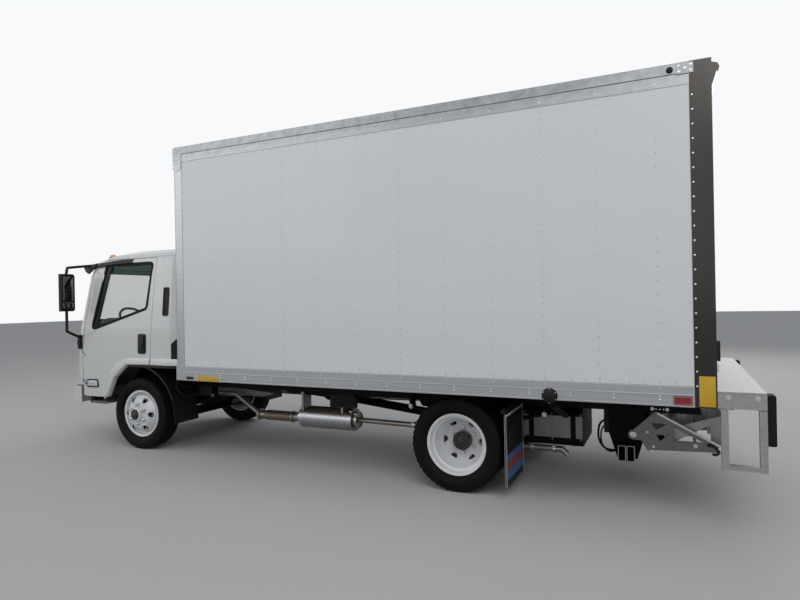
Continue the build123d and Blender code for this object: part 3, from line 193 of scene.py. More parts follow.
# Looks: colour, roughness and its spread, spread of the colour and its scale,
# grain (strength, scale, size), more
LOOKS = {
    "paint_white": [(0.67, 0.68, 0.68), 0.28, 0.05, 0.015, 2.0, (0.08, 900, 0.0004),
                    dict(coat=0.6, dust=(DUST, 0.45, 1.1, 0.12))],
    "panel_white": [(0.74, 0.75, 0.77), 0.36, 0.06, 0.02, 1.3, (0.05, 700, 0.0003),
                    dict(coat=0.25, wave=(1.6, 0.006))],
    "rail_alloy": [(0.42, 0.43, 0.45), 0.38, 0.1, 0.1, 9.0, (0.15, 260, 0.0006),
                   dict(metal=1.0, stretch=(0.12, 1.0, 3.0), dust=((0.13, 0.135, 0.14), 3.18, 2.98, 0.9))],
    # Rear posts: stainless steel, its colour darkened to the dark surroundings it mirrors, a painted
    # reflection
    "post_steel": [(0.06, 0.056, 0.052), 0.22, 0.07, 0.1, 7.0, (0.1, 260, 0.0004),
                   dict(metal=1.0, stretch=(3.0, 3.0, 0.15))],
    "cab_paint": [(0.67, 0.68, 0.68), 0.28, 0.05, 0.015, 2.0, (0.08, 900, 0.0004),
                  dict(coat=0.6, dust=(DUST, 0.45, 1.1, 0.12), lining=(0.045, 0.046, 0.048))],
    "galvanised": [(0.33, 0.335, 0.34), 0.46, 0.14, 0.18, 28.0, (0.2, 160, 0.0006), dict(metal=0.85)],
    # Lift arms: the galvanised steel at half its colour, painted shade for the arms under the body
    "galvanised_painted_shade": [(0.17, 0.172, 0.176), 0.44, 0.14, 0.2, 22.0, (0.2, 160, 0.0006), dict(metal=0.85)],
    # Bright zinc on the rail creases and arm flanges, brighter than the metal they belong to: painted
    # highlight on real edges
    "zinc_painted_highlight": [(0.62, 0.63, 0.64), 0.34, 0.12, 0.1, 30.0, (0.1, 200, 0.0004), dict(metal=0.9)],
    "roof_alloy": [(0.42, 0.43, 0.44), 0.58, 0.08, 0.06, 2.0, (0.1, 300, 0.0004),
                   dict(metal=0.7, wave=(1.2, 0.008))],
    "chassis_black": [(0.004, 0.004, 0.0045), 0.55, 0.14, 0.3, 6.0, (0.25, 220, 0.0008),
                      dict(specular=0.07, dust=(DUST, 0.1, 1.0, 0.01), edge=((0.02, 0.02, 0.02), 0.4))],
    "plastic_black": [(0.007, 0.007, 0.0075), 0.52, 0.1, 0.2, 12.0, (0.35, 900, 0.0005), dict(specular=0.25)],
    "rubber_black": [(0.006, 0.006, 0.006), 0.72, 0.12, 0.25, 20.0, (0.3, 500, 0.0006),
                     dict(specular=0.18, dust=(DUST, 0.1, 1.0, 0.03))],
    "tyre_rubber": [(0.005, 0.005, 0.0053), 0.62, 0.12, 0.22, 16.0, (0.3, 420, 0.0006),
                    dict(specular=0.1, dust=(DUST, 0.0, 0.5, 0.01))],
    "wheel_paint": [(0.76, 0.77, 0.78), 0.34, 0.08, 0.02, 8.0, (0.15, 500, 0.0005),
                    dict(coat=0.3, dust=(DUST, 0.1, 0.9, 0.1),
                         cores=((FRONT_AXLE, 0.2, 0.0, 0.856, DRUM_BLACK),
                                (FRONT_AXLE, 0.058, 0.962, 2.0, DRUM_BLACK),
                                (REAR_AXLE, 0.2, 0.0, 0.705, DRUM_BLACK),
                                (REAR_AXLE, 0.0815, 0.822, 2.0, DRUM_BLACK)))],
    "hub_black": [(0.022, 0.022, 0.023), 0.42, 0.15, 0.3, 30.0, (0.4, 260, 0.001), dict()],
    "zinc_bolt": [(0.6, 0.6, 0.6), 0.32, 0.12, 0.12, 60.0, (0.1, 800, 0.0003), dict(metal=1.0)],
    "rivet_metal": [(0.5, 0.5, 0.52), 0.4, 0.12, 0.15, 40.0, None, dict(metal=0.8)],
    "window_glass": [(0.03, 0.135, 0.108), 0.03, 0.01, 0.05, 2.0, None, dict(alpha=0.17)],
    "clear_lens": [(0.8, 0.82, 0.84), 0.08, 0.02, 0.02, 10.0, None, dict(coat=1.0, alpha=0.55)],
    "red_lens": [(0.26, 0.006, 0.012), 0.18, 0.04, 0.1, 60.0, (0.5, 380, 0.001), dict(coat=0.3)],
    "amber_lens": [(0.8, 0.28, 0.02), 0.16, 0.04, 0.1, 60.0, (0.5, 380, 0.001), dict(coat=0.8)],
    "wood_deck": [(0.34, 0.22, 0.12), 0.55, 0.12, 0.3, 8.0, (0.4, 60, 0.001), dict(stretch=(0.4, 8.0, 8.0))],
    "engine_iron": [(0.1, 0.105, 0.11), 0.55, 0.08, 0.25, 12.0, (0.5, 120, 0.002),
                    dict(metal=0.4, dust=(DUST, 0.3, 1.1, 0.25))],
    "gear_alloy": [(0.36, 0.36, 0.37), 0.5, 0.08, 0.2, 12.0, (0.5, 140, 0.001),
                   dict(metal=0.8, dust=(DUST, 0.3, 1.0, 0.25))],
    "pipe_steel": [(0.34, 0.31, 0.28), 0.45, 0.15, 0.3, 10.0, (0.3, 150, 0.001), dict(metal=0.9)],
    "chrome": [(0.6, 0.61, 0.62), 0.08, 0.03, 0.03, 20.0, None, dict(metal=1.0)],
    "inside_grey": [(0.1, 0.1, 0.105), 0.6, 0.08, 0.12, 14.0, (0.5, 700, 0.0006), dict()],
    "floor_mat": [(0.05, 0.05, 0.052), 0.75, 0.08, 0.2, 18.0, (0.6, 500, 0.001), dict()],
    "seat_cloth": [(0.075, 0.078, 0.085), 0.85, 0.08, 0.25, 60.0, (0.7, 1200, 0.0008), dict(sheen=0.3)],
    "mirror_glass": [(0.2, 0.19, 0.18), 0.05, 0.02, 0.02, 5.0, None, dict(metal=1.0)],
    "tan_metal": [(0.3, 0.25, 0.19), 0.45, 0.08, 0.25, 20.0, (0.2, 200, 0.0006), dict(metal=0.7)],
    "shield_metal": [(0.55, 0.56, 0.58), 0.32, 0.12, 0.12, 22.0, (0.3, 90, 0.001), dict(metal=1.0)],
    "tank_grey": [(0.3, 0.31, 0.31), 0.5, 0.12, 0.12, 12.0, None,
                  dict(metal=0.3, dust=(DUST, 0.2, 0.7, 0.35))],
    "sign_yellow": [(0.6, 0.36, 0.025), 0.45, 0.08, 0.05, 30.0, None, dict()],
    "flap_blue": [(0.03, 0.11, 0.27), 0.55, 0.08, 0.1, 30.0, None, dict()],
    "floor_pale": [(0.56, 0.56, 0.555), 0.9, 0.08, 0.03, 0.8, (0.2, 60, 0.002), dict()],
    "flap_red": [(0.27, 0.022, 0.022), 0.55, 0.08, 0.1, 30.0, None, dict()],
}
for look_name, (*look, more) in LOOKS.items():
    make_material(look_name, *look, **more)

NODE_MATERIAL = {
    "paint_white": "front_bumper",
    "cab_paint": "cab_front_panel cab_back_panel cab_roof door_left door_right",
    "panel_white": "side_walls front_wall rear_door",
    "rail_alloy": "body_rails corner_posts",
    "post_steel": "rear_frame",
    "galvanised": "dock_step lift_platform",
    "galvanised_painted_shade": "lift_arms",
    "roof_alloy": "cargo_roof",
    "chassis_black": "frame_rails cross_members cab_mounts front_axle leaf_springs rear_axle "
                     "knuckle_left knuckle_right tie_rod driveshaft battery_box fuel_tank "
                     "lift_mount ram_barrel",
    "plastic_black": "mirrors",
    "rubber_black": "dock_bumpers mud_flaps",
    "tyre_rubber": "tyre_front_left tyre_front_right tyres_rear_left tyres_rear_right",
    "wheel_paint": "wheel_front_left wheel_front_right wheels_rear_left wheels_rear_right",
    "window_glass": "cab_glass door_glass_left door_glass_right",
    "clear_lens": "cab_lamps",
    "red_lens": "body_lamps",
    "wood_deck": "cargo_floor",
    "engine_iron": "engine",
    "gear_alloy": "gearbox",
    "pipe_steel": "exhaust",
    "chrome": "ram_rod",
    "inside_grey": "dashboard steering_wheel",
    "floor_mat": "cab_floor seat_riser",
    "seat_cloth": "cab_seats",
}
for material_name, node_names in NODE_MATERIAL.items():
    for node_name in node_names.split():
        mesh = NODES[node_name].data
        mesh.materials.clear()
        mesh.materials.append(MATERIALS[material_name])


# Shapes
def turns(count):
    """Angles of equal steps round a circle."""
    return [2 * math.pi * k / count for k in range(count)]


def rect(u0, v0, u1, v1):
    return [(u0, v0), (u1, v0), (u1, v1), (u0, v1)]


def over_x(x, outline):
    """Points of an outline in Y and Z, at one X."""
    return [(x, y, z) for y, z in outline]


def over_y(y, outline):
    """Points of an outline in X and Z, at one Y."""
    return [(x, y, z) for x, z in outline]


def at_x(x, way=1):
    """A flat face across X that looks forward, or back where way is -1."""
    return lambda u, v, depth: (x + way * depth, u, v)


class Form:
    """Points and faces of one piece, gathered from simple shapes."""

    def __init__(self):
        self.points = []
        self.faces = []

    def add(self, points, faces):
        base = len(self.points)
        self.points += [tuple(p) for p in points]
        self.faces += [[base + i for i in face] for face in faces]
        return self

    def box(self, low, high):
        x0, y0, z0 = [min(a, b) for a, b in zip(low, high)]
        x1, y1, z1 = [max(a, b) for a, b in zip(low, high)]
        return self.add([(x0, y0, z0), (x1, y0, z0), (x1, y1, z0), (x0, y1, z0), (x0, y0, z1), (x1, y0, z1),
                         (x1, y1, z1), (x0, y1, z1)],
                        [(0, 3, 2, 1), (4, 5, 6, 7), (0, 1, 5, 4), (1, 2, 6, 5), (2, 3, 7, 6), (3, 0, 4, 7)])

    def loops(self, loops, closed=True, ends=0):
        """Skin between loops that have the same number of points; ends: 1 closes the last, 2 closes both."""
        count = len(loops[0])
        faces = []
        for row in range(len(loops) - 1):
            for i in range(count if closed else count - 1):
                j = (i + 1) % count
                faces.append((row * count + i, row * count + j, (row + 1) * count + j, (row + 1) * count + i))
        if ends == 2:
            faces.append(tuple(reversed(range(count))))
        if ends:
            last = (len(loops) - 1) * count
            faces.append(tuple(last + i for i in range(count)))
        return self.add([p for loop in loops for p in loop], faces)

    def lathe(self, origin, axis, profile, count=24, ends=0):
        """Turn (distance along the axis, radius) pairs round the axis."""
        origin = Vector(origin)
        axis = Vector(axis).normalized()
        side = axis.orthogonal().normalized()
        other = axis.cross(side)
        loops = [[origin + axis * along + (side * math.cos(t) + other * math.sin(t)) * radius
                  for t in turns(count)] for along, radius in profile]
        return self.loops(loops, ends=ends)

    def bar(self, start, end, radius, count=12, end_radius=None):
        run = Vector(end) - Vector(start)
        last = radius if end_radius is None else end_radius
        return self.lathe(start, run, [(0, radius), (run.length, last)], count, 2)

    def prism(self, points, shift):
        shift = Vector(shift)
        return self.loops([[Vector(p) for p in points], [Vector(p) + shift for p in points]], ends=2)

    def tube(self, path, radius, count=10):
        """A round tube along a path of points."""
        path = [Vector(p) for p in path]
        heading = (path[1] - path[0]).normalized()
        side = heading.orthogonal().normalized()
        loops = []
        for i, point in enumerate(path):
            before = path[max(0, i - 1)]
            after = path[min(len(path) - 1, i + 1)]
            new_heading = (after - before).normalized()
            side = (side - new_heading * side.dot(new_heading)).normalized()
            other = new_heading.cross(side)
            loops.append([point + (side * math.cos(t) + other * math.sin(t)) * radius for t in turns(count)])
        return self.loops(loops, ends=2)

    def pipe(self, points, radius, count=10, steps=6):
        """A tube along a rounded path through points."""
        return self.tube(smooth_path(points, steps), radius, count)

    def rivet(self, place, normal, radius=0.006, height=0.003, count=8):
        return self.lathe(place, normal, [(0, radius), (height * 0.6, radius * 0.82),
            (height, radius * 0.35)], count, 1)

    def bolt(self, place, normal, radius=0.01, height=0.007, washer=1.4):
        """A hexagon head on a round washer."""
        if washer:
            self.lathe(place, normal, [(0, radius * washer), (height * 0.25, radius * washer)], 16, 1)
        normal = Vector(normal).normalized()
        base = Vector(place) + normal * height * 0.25
        return self.lathe(base, normal, [(0, radius), (height * 0.8, radius), (height, radius * 0.86)], 6, 1)

    def band(self, points, radius, inner, outer, place, low=0.0, high=0.004):
        """A raised strip that follows a rounded outline; place(u, v, depth) gives a point."""
        inside, outside = [rounded(grow(points, reach), max(0.004, radius + reach))
                           for reach in (inner, outer)]
        rings = ((outside, low), (outside, high), (inside, high), (inside, low), (outside, low))
        return self.loops([[place(u, v, depth) for u, v in outline] for outline, depth in rings])

    def pad(self, points, radius, place, low=0.0, high=0.004, shrink=0.003):
        """A raised flat plate with a rounded outline."""
        full = rounded(points, radius)
        less = rounded(grow(points, -shrink), max(0.002, radius - shrink))
        rings = ((full, low), (full, high - shrink * 0.5), (less, high))
        return self.loops([[place(u, v, depth) for u, v in outline] for outline, depth in rings], ends=1)

    def make(self, name, mat, body="chassis", angle=35, bevel=0.0, slot=None, segments=2):
        """Make the piece, in a material by name, riding on a body."""
        mesh = bpy.data.meshes.new(name)
        mesh.from_pydata(self.points, [], self.faces)
        mesh.validate()
        mesh.materials.append(MATERIALS[mat])
        obj = bpy.data.objects.new(name, mesh)
        bpy.context.scene.collection.objects.link(obj)
        work = bmesh.new()
        work.from_mesh(mesh)
        bmesh.ops.recalc_face_normals(work, faces=work.faces)
        work.to_mesh(mesh)
        work.free()
        mesh.shade_smooth()
        mesh.set_sharp_from_angle(angle=math.radians(angle))
        if bevel:
            chamfer = obj.modifiers.new("soft_edges", "BEVEL")
            chamfer.width = bevel
            chamfer.segments = segments
            chamfer.limit_method = "ANGLE"
            chamfer.angle_limit = math.radians(40)
            chamfer.harden_normals = True
        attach(obj, body)
        return obj


def smooth_path(points, steps=6):
    """A rounded path through points."""
    points = [Vector(p) for p in points]
    padded = [points[0] * 2 - points[1]] + points + [points[-1] * 2 - points[-2]]
    path = []
    for i in range(1, len(padded) - 2):
        a, b, c, d = padded[i - 1:i + 3]
        for k in range(steps):
            t = k / steps
            path.append(0.5 * ((2 * b) + (c - a) * t + (2 * a - 5 * b + 4 * c - d) * t * t
                               + (3 * b - a - 3 * c + d) * t ** 3))
    path.append(points[-1])
    return path


def grow(points, amount):
    """Move each side of a flat outline outward by amount."""
    area = sum(a[0] * b[1] - b[0] * a[1] for a, b in zip(points, points[1:] + points[:1]))
    turn = 1 if area > 0 else -1
    moved = []
    count = len(points)
    for i in range(count):
        a, b, c = Vector(points[i - 1]), Vector(points[i]), Vector(points[(i + 1) % count])
        d1, d2 = (b - a).normalized(), (c - b).normalized()
        n1, n2 = Vector((d1.y, -d1.x)) * turn, Vector((d2.y, -d2.x)) * turn
        push = (n1 + n2) / (1 + n1.dot(n2))
        moved.append(tuple(b + push * amount))
    return moved


def rounded(points, radius, steps=6):
    """A flat outline with round corners, as a list of points."""
    result = []
    count = len(points)
    for i in range(count):
        a, b, c = Vector(points[i - 1]), Vector(points[i]), Vector(points[(i + 1) % count])
        d1, d2 = (a - b).normalized(), (c - b).normalized()
        half = math.acos(max(-1, min(1, d1.dot(d2)))) / 2
        reach = min(radius / math.tan(half), (a - b).length * 0.45, (c - b).length * 0.45)
        start, end = b + d1 * reach, b + d2 * reach
        for k in range(steps + 1):
            t = k / steps
            result.append(tuple(start * (1 - t) ** 2 + b * 2 * t * (1 - t) + end * t * t))
    return result


# Cab skin, as stacked outlines
CAB_RINGS = [
    (0.56, 0.105, 0.06, 1.0, 0.11), (1.0, 0.12, 0.065, 1.01, 0.12), (1.37, 0.158, 0.095, 1.003, 0.13),
    (1.98, 0.275, 0.205, 0.95, 0.13), (2.13, 0.345, 0.275, 0.925, 0.14), (2.21, 0.56, 0.5, 0.86, 0.15),
    (2.25, 0.9, 0.86, 0.78, 0.15),
]


def cab_ring(z):
    """Corner X, centre X, half width and corner radius of the cab at a height."""
    z = min(max(z, CAB_RINGS[0][0]), CAB_RINGS[-1][0])
    for a, b in zip(CAB_RINGS, CAB_RINGS[1:]):
        if z <= b[0]:
            t = (z - a[0]) / (b[0] - a[0])
            mixed = [p + (q - p) * t for p, q in zip(a[1:], b[1:])]
            return NOSE - mixed[0], NOSE - mixed[1], mixed[2], mixed[3]


def cab_side(x, z):
    """Outer Y of the cab's left skin at a place in side view."""
    corner_x, centre_x, half, corner = cab_ring(z)
    bend = x - (corner_x - corner)
    if bend <= 0:
        return half
    bend = min(bend, corner)
    return half - corner + math.sqrt(max(0.0, corner * corner - bend * bend))


def cab_front(y, z):
    """Outer X of the cab's front skin at a place in front view."""
    corner_x, centre_x, half, corner = cab_ring(z)
    flat = half - corner
    y = abs(y)
    if y <= flat:
        rise = centre_x - corner_x
        radius = (flat * flat + rise * rise) / (2 * rise)
        return centre_x - radius + math.sqrt(radius * radius - y * y)
    bend = min(y - flat, corner)
    return corner_x - corner + math.sqrt(max(0.0, corner * corner - bend * bend))


def on_side(side):
    return lambda u, v, depth: (u, side * (cab_side(u, v) + depth), v)


def on_body(side):
    return lambda u, v, depth: (u, side * (BODY_HALF + depth), v)


def on_front(u, v, depth):
    return (cab_front(u, v) + depth, u, v)


SIDES = (("left", 1), ("right", -1))
MIRROR_BODY = NODES["mirrors"]["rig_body"] if "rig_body" in NODES["mirrors"] else "cab"
MIRROR_FACE = 3.358 - 0.03

# Camera, light and floor
YAW, PITCH, ROLL = 0.4345, 0.0012, -0.0183
forward = Vector((math.sin(YAW) * math.cos(PITCH), -math.cos(YAW) * math.cos(PITCH), math.sin(PITCH)))
right = forward.cross(Vector((0, 0, 1))).normalized()
up = right.cross(forward)
right_rolled = right * math.cos(ROLL) + up * math.sin(ROLL)
up_rolled = up * math.cos(ROLL) - right * math.sin(ROLL)
camera_data = bpy.data.cameras.new("camera")
camera_data.lens = 26.469
camera_data.sensor_width = 36.0
camera_data.clip_end = 200.0
camera = bpy.data.objects.new("camera", camera_data)
turn = Matrix((right_rolled, up_rolled, -forward)).transposed().to_4x4()
camera.matrix_world = Matrix.Translation((-2.9962, 5.7259, 1.6241)) @ turn
bpy.context.scene.collection.objects.link(camera)
bpy.context.scene.camera = camera
bpy.context.scene.view_settings.view_transform = "Standard"


def area_light(name, place, target, size, power):
    """A soft square lamp aimed at a point."""
    data = bpy.data.lights.new(name, "AREA")
    data.shape = "SQUARE"
    data.size = size
    data.energy = power
    lamp = bpy.data.objects.new(name, data)
    aim = (Vector(target) - Vector(place)).to_track_quat("-Z", "Y")
    lamp.matrix_world = Matrix.Translation(place) @ aim.to_matrix().to_4x4()
    bpy.context.scene.collection.objects.link(lamp)


area_light("key", (-6.0, 9.0, 10.0), (0, 0, 1.2), 9.0, 560)
area_light("fill", (8.0, 8.0, 7.0), (0, 0, 1.2), 9.0, 230)
area_light("back", (-2.0, -10.0, 9.0), (0, 0, 1.5), 9.0, 420)

world = bpy.data.worlds.new("studio")
bpy.context.scene.world = world
world.use_nodes = True
studio = world.node_tree
studio.nodes.clear()
soft = add_node(studio, "Background", {"Color": (0.86, 0.9, 0.96, 1.0), "Strength": 0.32})
white = add_node(studio, "Background", {"Color": (0.93, 0.945, 0.96, 1.0), "Strength": 1.0})
rays = studio.nodes.new("ShaderNodeLightPath").outputs
seen = add_node(studio, "Math", {0: rays["Is Camera Ray"], 1: rays["Is Glossy Ray"]}, operation="MAXIMUM")
seen = add_node(studio, "Math", {0: seen, 1: rays["Is Transmission Ray"]}, operation="MAXIMUM")
sky = add_node(studio, "MixShader", {"Fac": seen, 1: soft, 2: white})
studio.links.new(sky, studio.nodes.new("ShaderNodeOutputWorld").inputs["Surface"])

bpy.ops.mesh.primitive_plane_add(size=120, location=(0, 0, 0))
floor = bpy.context.active_object
floor.name = "studio_floor"
floor.data.materials.append(MATERIALS["floor_pale"])


# Tyres: ribs, grooves, shoulder notches and ringed side walls
def tyre(name, body, centres, replaced):
    """Detailed tyres at (x, y) places, standing for one CAD node."""
    wall = [(0.07, 0.2506), (0.0752, 0.252), (0.0756, 0.265), (0.08, 0.27), (0.083, 0.2708), (0.086, 0.274),
            (0.094, 0.28), (0.0985, 0.286), (0.103, 0.293), (0.105, 0.2945), (0.1066, 0.2985), (0.1096, 0.31),
            (0.112, 0.323), (0.1128, 0.325), (0.1128, 0.331), (0.112, 0.333), (0.1112, 0.345),
            (0.1092, 0.359), (0.1066, 0.37), (0.1066, 0.3735), (0.104, 0.38), (0.1, 0.388)]
    crown = [0.096, 0.09, 0.08, 0.07, 0.0645, 0.064, 0.056, 0.0555, 0.045, 0.033, 0.0255, 0.025, 0.017,
             0.0165, 0.008]
    grooves = ((0.06, 0.0042), (0.021, 0.0042))
    count = 240
    form = Form()
    for cx, cy in centres:
        rows = []
        half = [(y, r, False) for y, r in wall] + [(y, 0.3998 - 0.55 * y * y, True) for y in crown]
        for y, r, tread in half + [(0.0, 0.3998, True)] + [(-y, r, t) for y, r, t in reversed(half)]:
            row = []
            for k, angle in enumerate(turns(count)):
                shift = 0.0
                radius = r
                if tread:
                    zig = 0.0022 * (1 if (k // 3) % 2 else -1)
                    for centre, reach in grooves:
                        if abs(abs(y) - centre) < reach:
                            radius -= 0.011
                        if abs(abs(y) - centre) < reach + 0.004:
                            shift = zig
                    if abs(y) > 0.068 and k % 5 in (0, 1):
                        radius -= 0.006
                    if 0.026 < abs(y) < 0.055 and k % 10 == 5:
                        radius -= 0.004
                row.append((cx + radius * math.cos(angle), cy + y + shift, AXLE_Z + radius * math.sin(angle)))
            rows.append(row)
        form.loops(rows + [rows[0]])
    obj = form.make(name, "tyre_rubber", body, angle=40, slot="tyre")
    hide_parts(replaced)
    return obj


FRONT_Y = 0.833
TWIN_Y = (0.82 + 0.127, 0.82 - 0.127)
for hand, side in SIDES:
    tyre(f"tread_front_{hand}", f"wheel_front_{hand}", [(FRONT_AXLE, side * FRONT_Y)], f"tyre_front_{hand}")
    tyre(f"tread_rear_{hand}", f"wheels_rear_{hand}", [(REAR_AXLE, side * y) for y in TWIN_Y],
         f"tyres_rear_{hand}")

# Wheel nuts, hub covers, studs and valves
for hand, side in SIDES:
    for end, axle_x, face, hub_face, body in (("front", FRONT_AXLE, 0.96, 1.005, f"wheel_front_{hand}"),
            ("rear", REAR_AXLE, 0.82, 0.893, f"wheels_rear_{hand}")):
        nuts = Form()
        hub = Form()
        out = Vector((0, side, 0))
        for k in range(6):
            angle = math.radians(60 * k)
            around = Vector((math.sin(angle), 0, math.cos(angle)))
            spot = Vector((axle_x, side * face, AXLE_Z)) + around * NUT_REACH
            nuts.lathe(spot, out, [(0, 0.0225), (0.004, 0.0225), (0.006, 0.0185)], 20)
            nuts.lathe(spot + out * 0.004, out, [(0, 0.0182), (0.022, 0.0182), (0.0255, 0.015)], 6, 1)
            nuts.lathe(spot + out * 0.025, out, [(0, 0.0085), (0.014, 0.0085), (0.0155, 0.0065)], 12, 1)
        centre = Vector((axle_x, side * hub_face, AXLE_Z))
        for k in range(8):
            angle = math.radians(45 * k + 22)
            around = Vector((math.sin(angle), 0, math.cos(angle)))
            hub.bolt(centre + around * 0.053, out, 0.0075, 0.008, 1.3)
        hub.lathe(centre, out, [(0, 0.036), (0.004, 0.034), (0.006, 0.026), (0.01, 0.024), (0.012, 0.012)],
                  32, 1)
        nuts.make(f"wheel_nuts_{end}_{hand}", "zinc_bolt", body)
        hub.make(f"hub_cover_{end}_{hand}", "hub_black", body)
        valve = Form()
        start = Vector((axle_x + 0.15, side * (face - 0.028), AXLE_Z + 0.11))
        valve.bar(start, start + Vector((0.012, side * 0.03, 0.009)), 0.0045, 10, 0.0035)
        valve.bar(start + Vector((0.012, side * 0.03, 0.009)), start + Vector((0.015, side * 0.04, 0.011)),
                  0.005, 10)
        valve.make(f"tyre_valve_{end}_{hand}", "zinc_bolt", body)

# Van body: sheet laps, rivets, creases, corner caps, plates and markers
columns = [1.499 - 0.4 * t for t in range(1, 12)]
for hand, side in SIDES:
    face = side * SKIN_HALF
    out = (0, side, 0)
    laps = Form()
    for t in (3, 6, 9):
        x = columns[t - 1]
        laps.box((x - 0.028, face, PANEL_LOW + 0.001), (x + 0.02, face + side * 0.0012, PANEL_HIGH - 0.001))
    laps.make(f"sheet_laps_{hand}", "panel_white")
    rivets = Form()
    for t, x in enumerate(columns, 1):
        step = 0.05 if t % 3 == 0 else 0.1
        base = face + side * (0.0012 if t % 3 == 0 else 0)
        for k in range(int(2.02 / step) + 1):
            rivets.rivet((x, base, 1.035 + k * step), out, 0.0062, 0.0026)
    count = int((WALL_FRONT - WALL_REAR - 0.06) / 0.1)
    for k in range(count + 1):
        x = WALL_FRONT - 0.03 - 0.1 * k
        rivets.rivet((x, face, PANEL_LOW + 0.016), out, 0.0062, 0.0026)
        rivets.rivet((x, face, PANEL_HIGH - 0.016), out, 0.0062, 0.0026)
    for k in range(20):
        rivets.rivet((WALL_FRONT - 0.014, face, 1.06 + 0.1 * k), out, 0.0062, 0.0026)
    rivets.make(f"panel_rivets_{hand}", "rivet_metal")
    rails = Form()
    rail_face = side * BODY_HALF
    for k in range(15):
        x = WALL_REAR + 0.221 + 0.305 * k
        for z in (0.918, 0.894):
            rails.rivet((x, rail_face, z), out, 0.0085, 0.004, 10)
    for x in columns:
        rails.rivet((x, rail_face, 0.972), out, 0.0065, 0.003)
        rails.rivet((x, rail_face, 3.105), out, 0.0065, 0.003)
        rails.rivet((x - 0.2, rail_face, 3.14), out, 0.0055, 0.003)
    for k in range(21):
        rails.rivet((WALL_REAR - 0.016, rail_face, 1.0 + 0.1 * k), out, 0.0078, 0.004, 10)
    for k in range(21):
        rails.rivet((WALL_FRONT + 0.022, rail_face, 1.0 + 0.1 * k), out, 0.0065, 0.003)
    rails.make(f"rail_rivets_{hand}", "zinc_bolt")
    # Real creases along the rails, in a zinc brighter than the rail: painted highlight lines
    crease = Form()
    for z, height, proud in ((0.934, 0.005, 0.0022), (0.862, 0.004, 0.0015), (0.99, 0.004, 0.0012),
                             (3.096, 0.004, 0.0012), (3.16, 0.004, 0.0018)):
        crease.prism(over_x(WALL_REAR + 0.002,
                            [(rail_face, z), (rail_face + side * proud, z + height * 0.3),
                             (rail_face + side * proud, z + height * 0.7), (rail_face, z + height)]),
                     (WALL_FRONT - WALL_REAR - 0.004, 0, 0))
    crease.make(f"rail_highlight_creases_{hand}", "zinc_painted_highlight")
    shade = Form()
    for z, height in ((0.9285, 0.004), (3.155, 0.0035)):
        shade.box((WALL_REAR + 0.002, rail_face, z),
                  (WALL_FRONT - 0.002, rail_face + side * 0.0008, z + height))
    shade.make(f"rail_shade_lines_{hand}", "inside_grey")
    piece = Form().prism(over_y(rail_face, [(1.64, 3.225), (1.64, 3.01), (1.585, 2.985), (1.53, 3.01),
        (1.53, 3.15), (1.5, 3.16), (1.5, 3.225)]), (0, side * 0.004, 0))
    piece.make(f"corner_cap_{hand}", "rail_alloy", bevel=0.002)
    cap_bolts = Form()
    for x, z in ((1.625, 3.2), (1.625, 3.11), (1.625, 3.03), (1.548, 3.2), (1.548, 3.11), (1.548, 3.03)):
        cap_bolts.rivet((x, rail_face + side * 0.004, z), out, 0.008, 0.004, 10)
    cap_bolts.make(f"corner_cap_rivets_{hand}", "zinc_bolt")
    piece = Form().prism(over_y(rail_face + side * 0.003,
                                [(-3.04, 3.226), (-3.04, 3.15), (-3.15, 3.15), (-3.15, 3.226)]),
                         (0, side * 0.004, 0))
    piece.make(f"rear_top_plate_{hand}", "galvanised", bevel=0.002)
    plate_bolts = Form()
    for x, z in ((-3.058, 3.208), (-3.058, 3.168), (-3.132, 3.208), (-3.132, 3.168), (-3.095, 3.188)):
        plate_bolts.bolt((x, rail_face + side * 0.007, z), out, 0.007, 0.005)
    plate_bolts.make(f"rear_top_bolts_{hand}", "zinc_bolt")
    piece = Form().lathe((-3.001, rail_face + side * 0.003, 3.19), out,
                         [(0, 0.022), (0.006, 0.022), (0.009, 0.017), (0.01, 0.008)], 24, 1)
    piece.make(f"top_marker_{hand}", "plastic_black")
    piece = Form().pad(rect(1.089, 0.858, 1.356, 0.909), 0.005, on_body(side), 0, 0.0016, 0.0006)
    piece.make(f"front_plate_{hand}", "sign_yellow")
    piece = Form().band(rect(-3.104, 0.869, -2.99, 0.928), 0.006, -0.003, 0.003, on_body(side), 0, 0.006)
    piece.make(f"side_marker_bezel_{hand}", "red_lens")

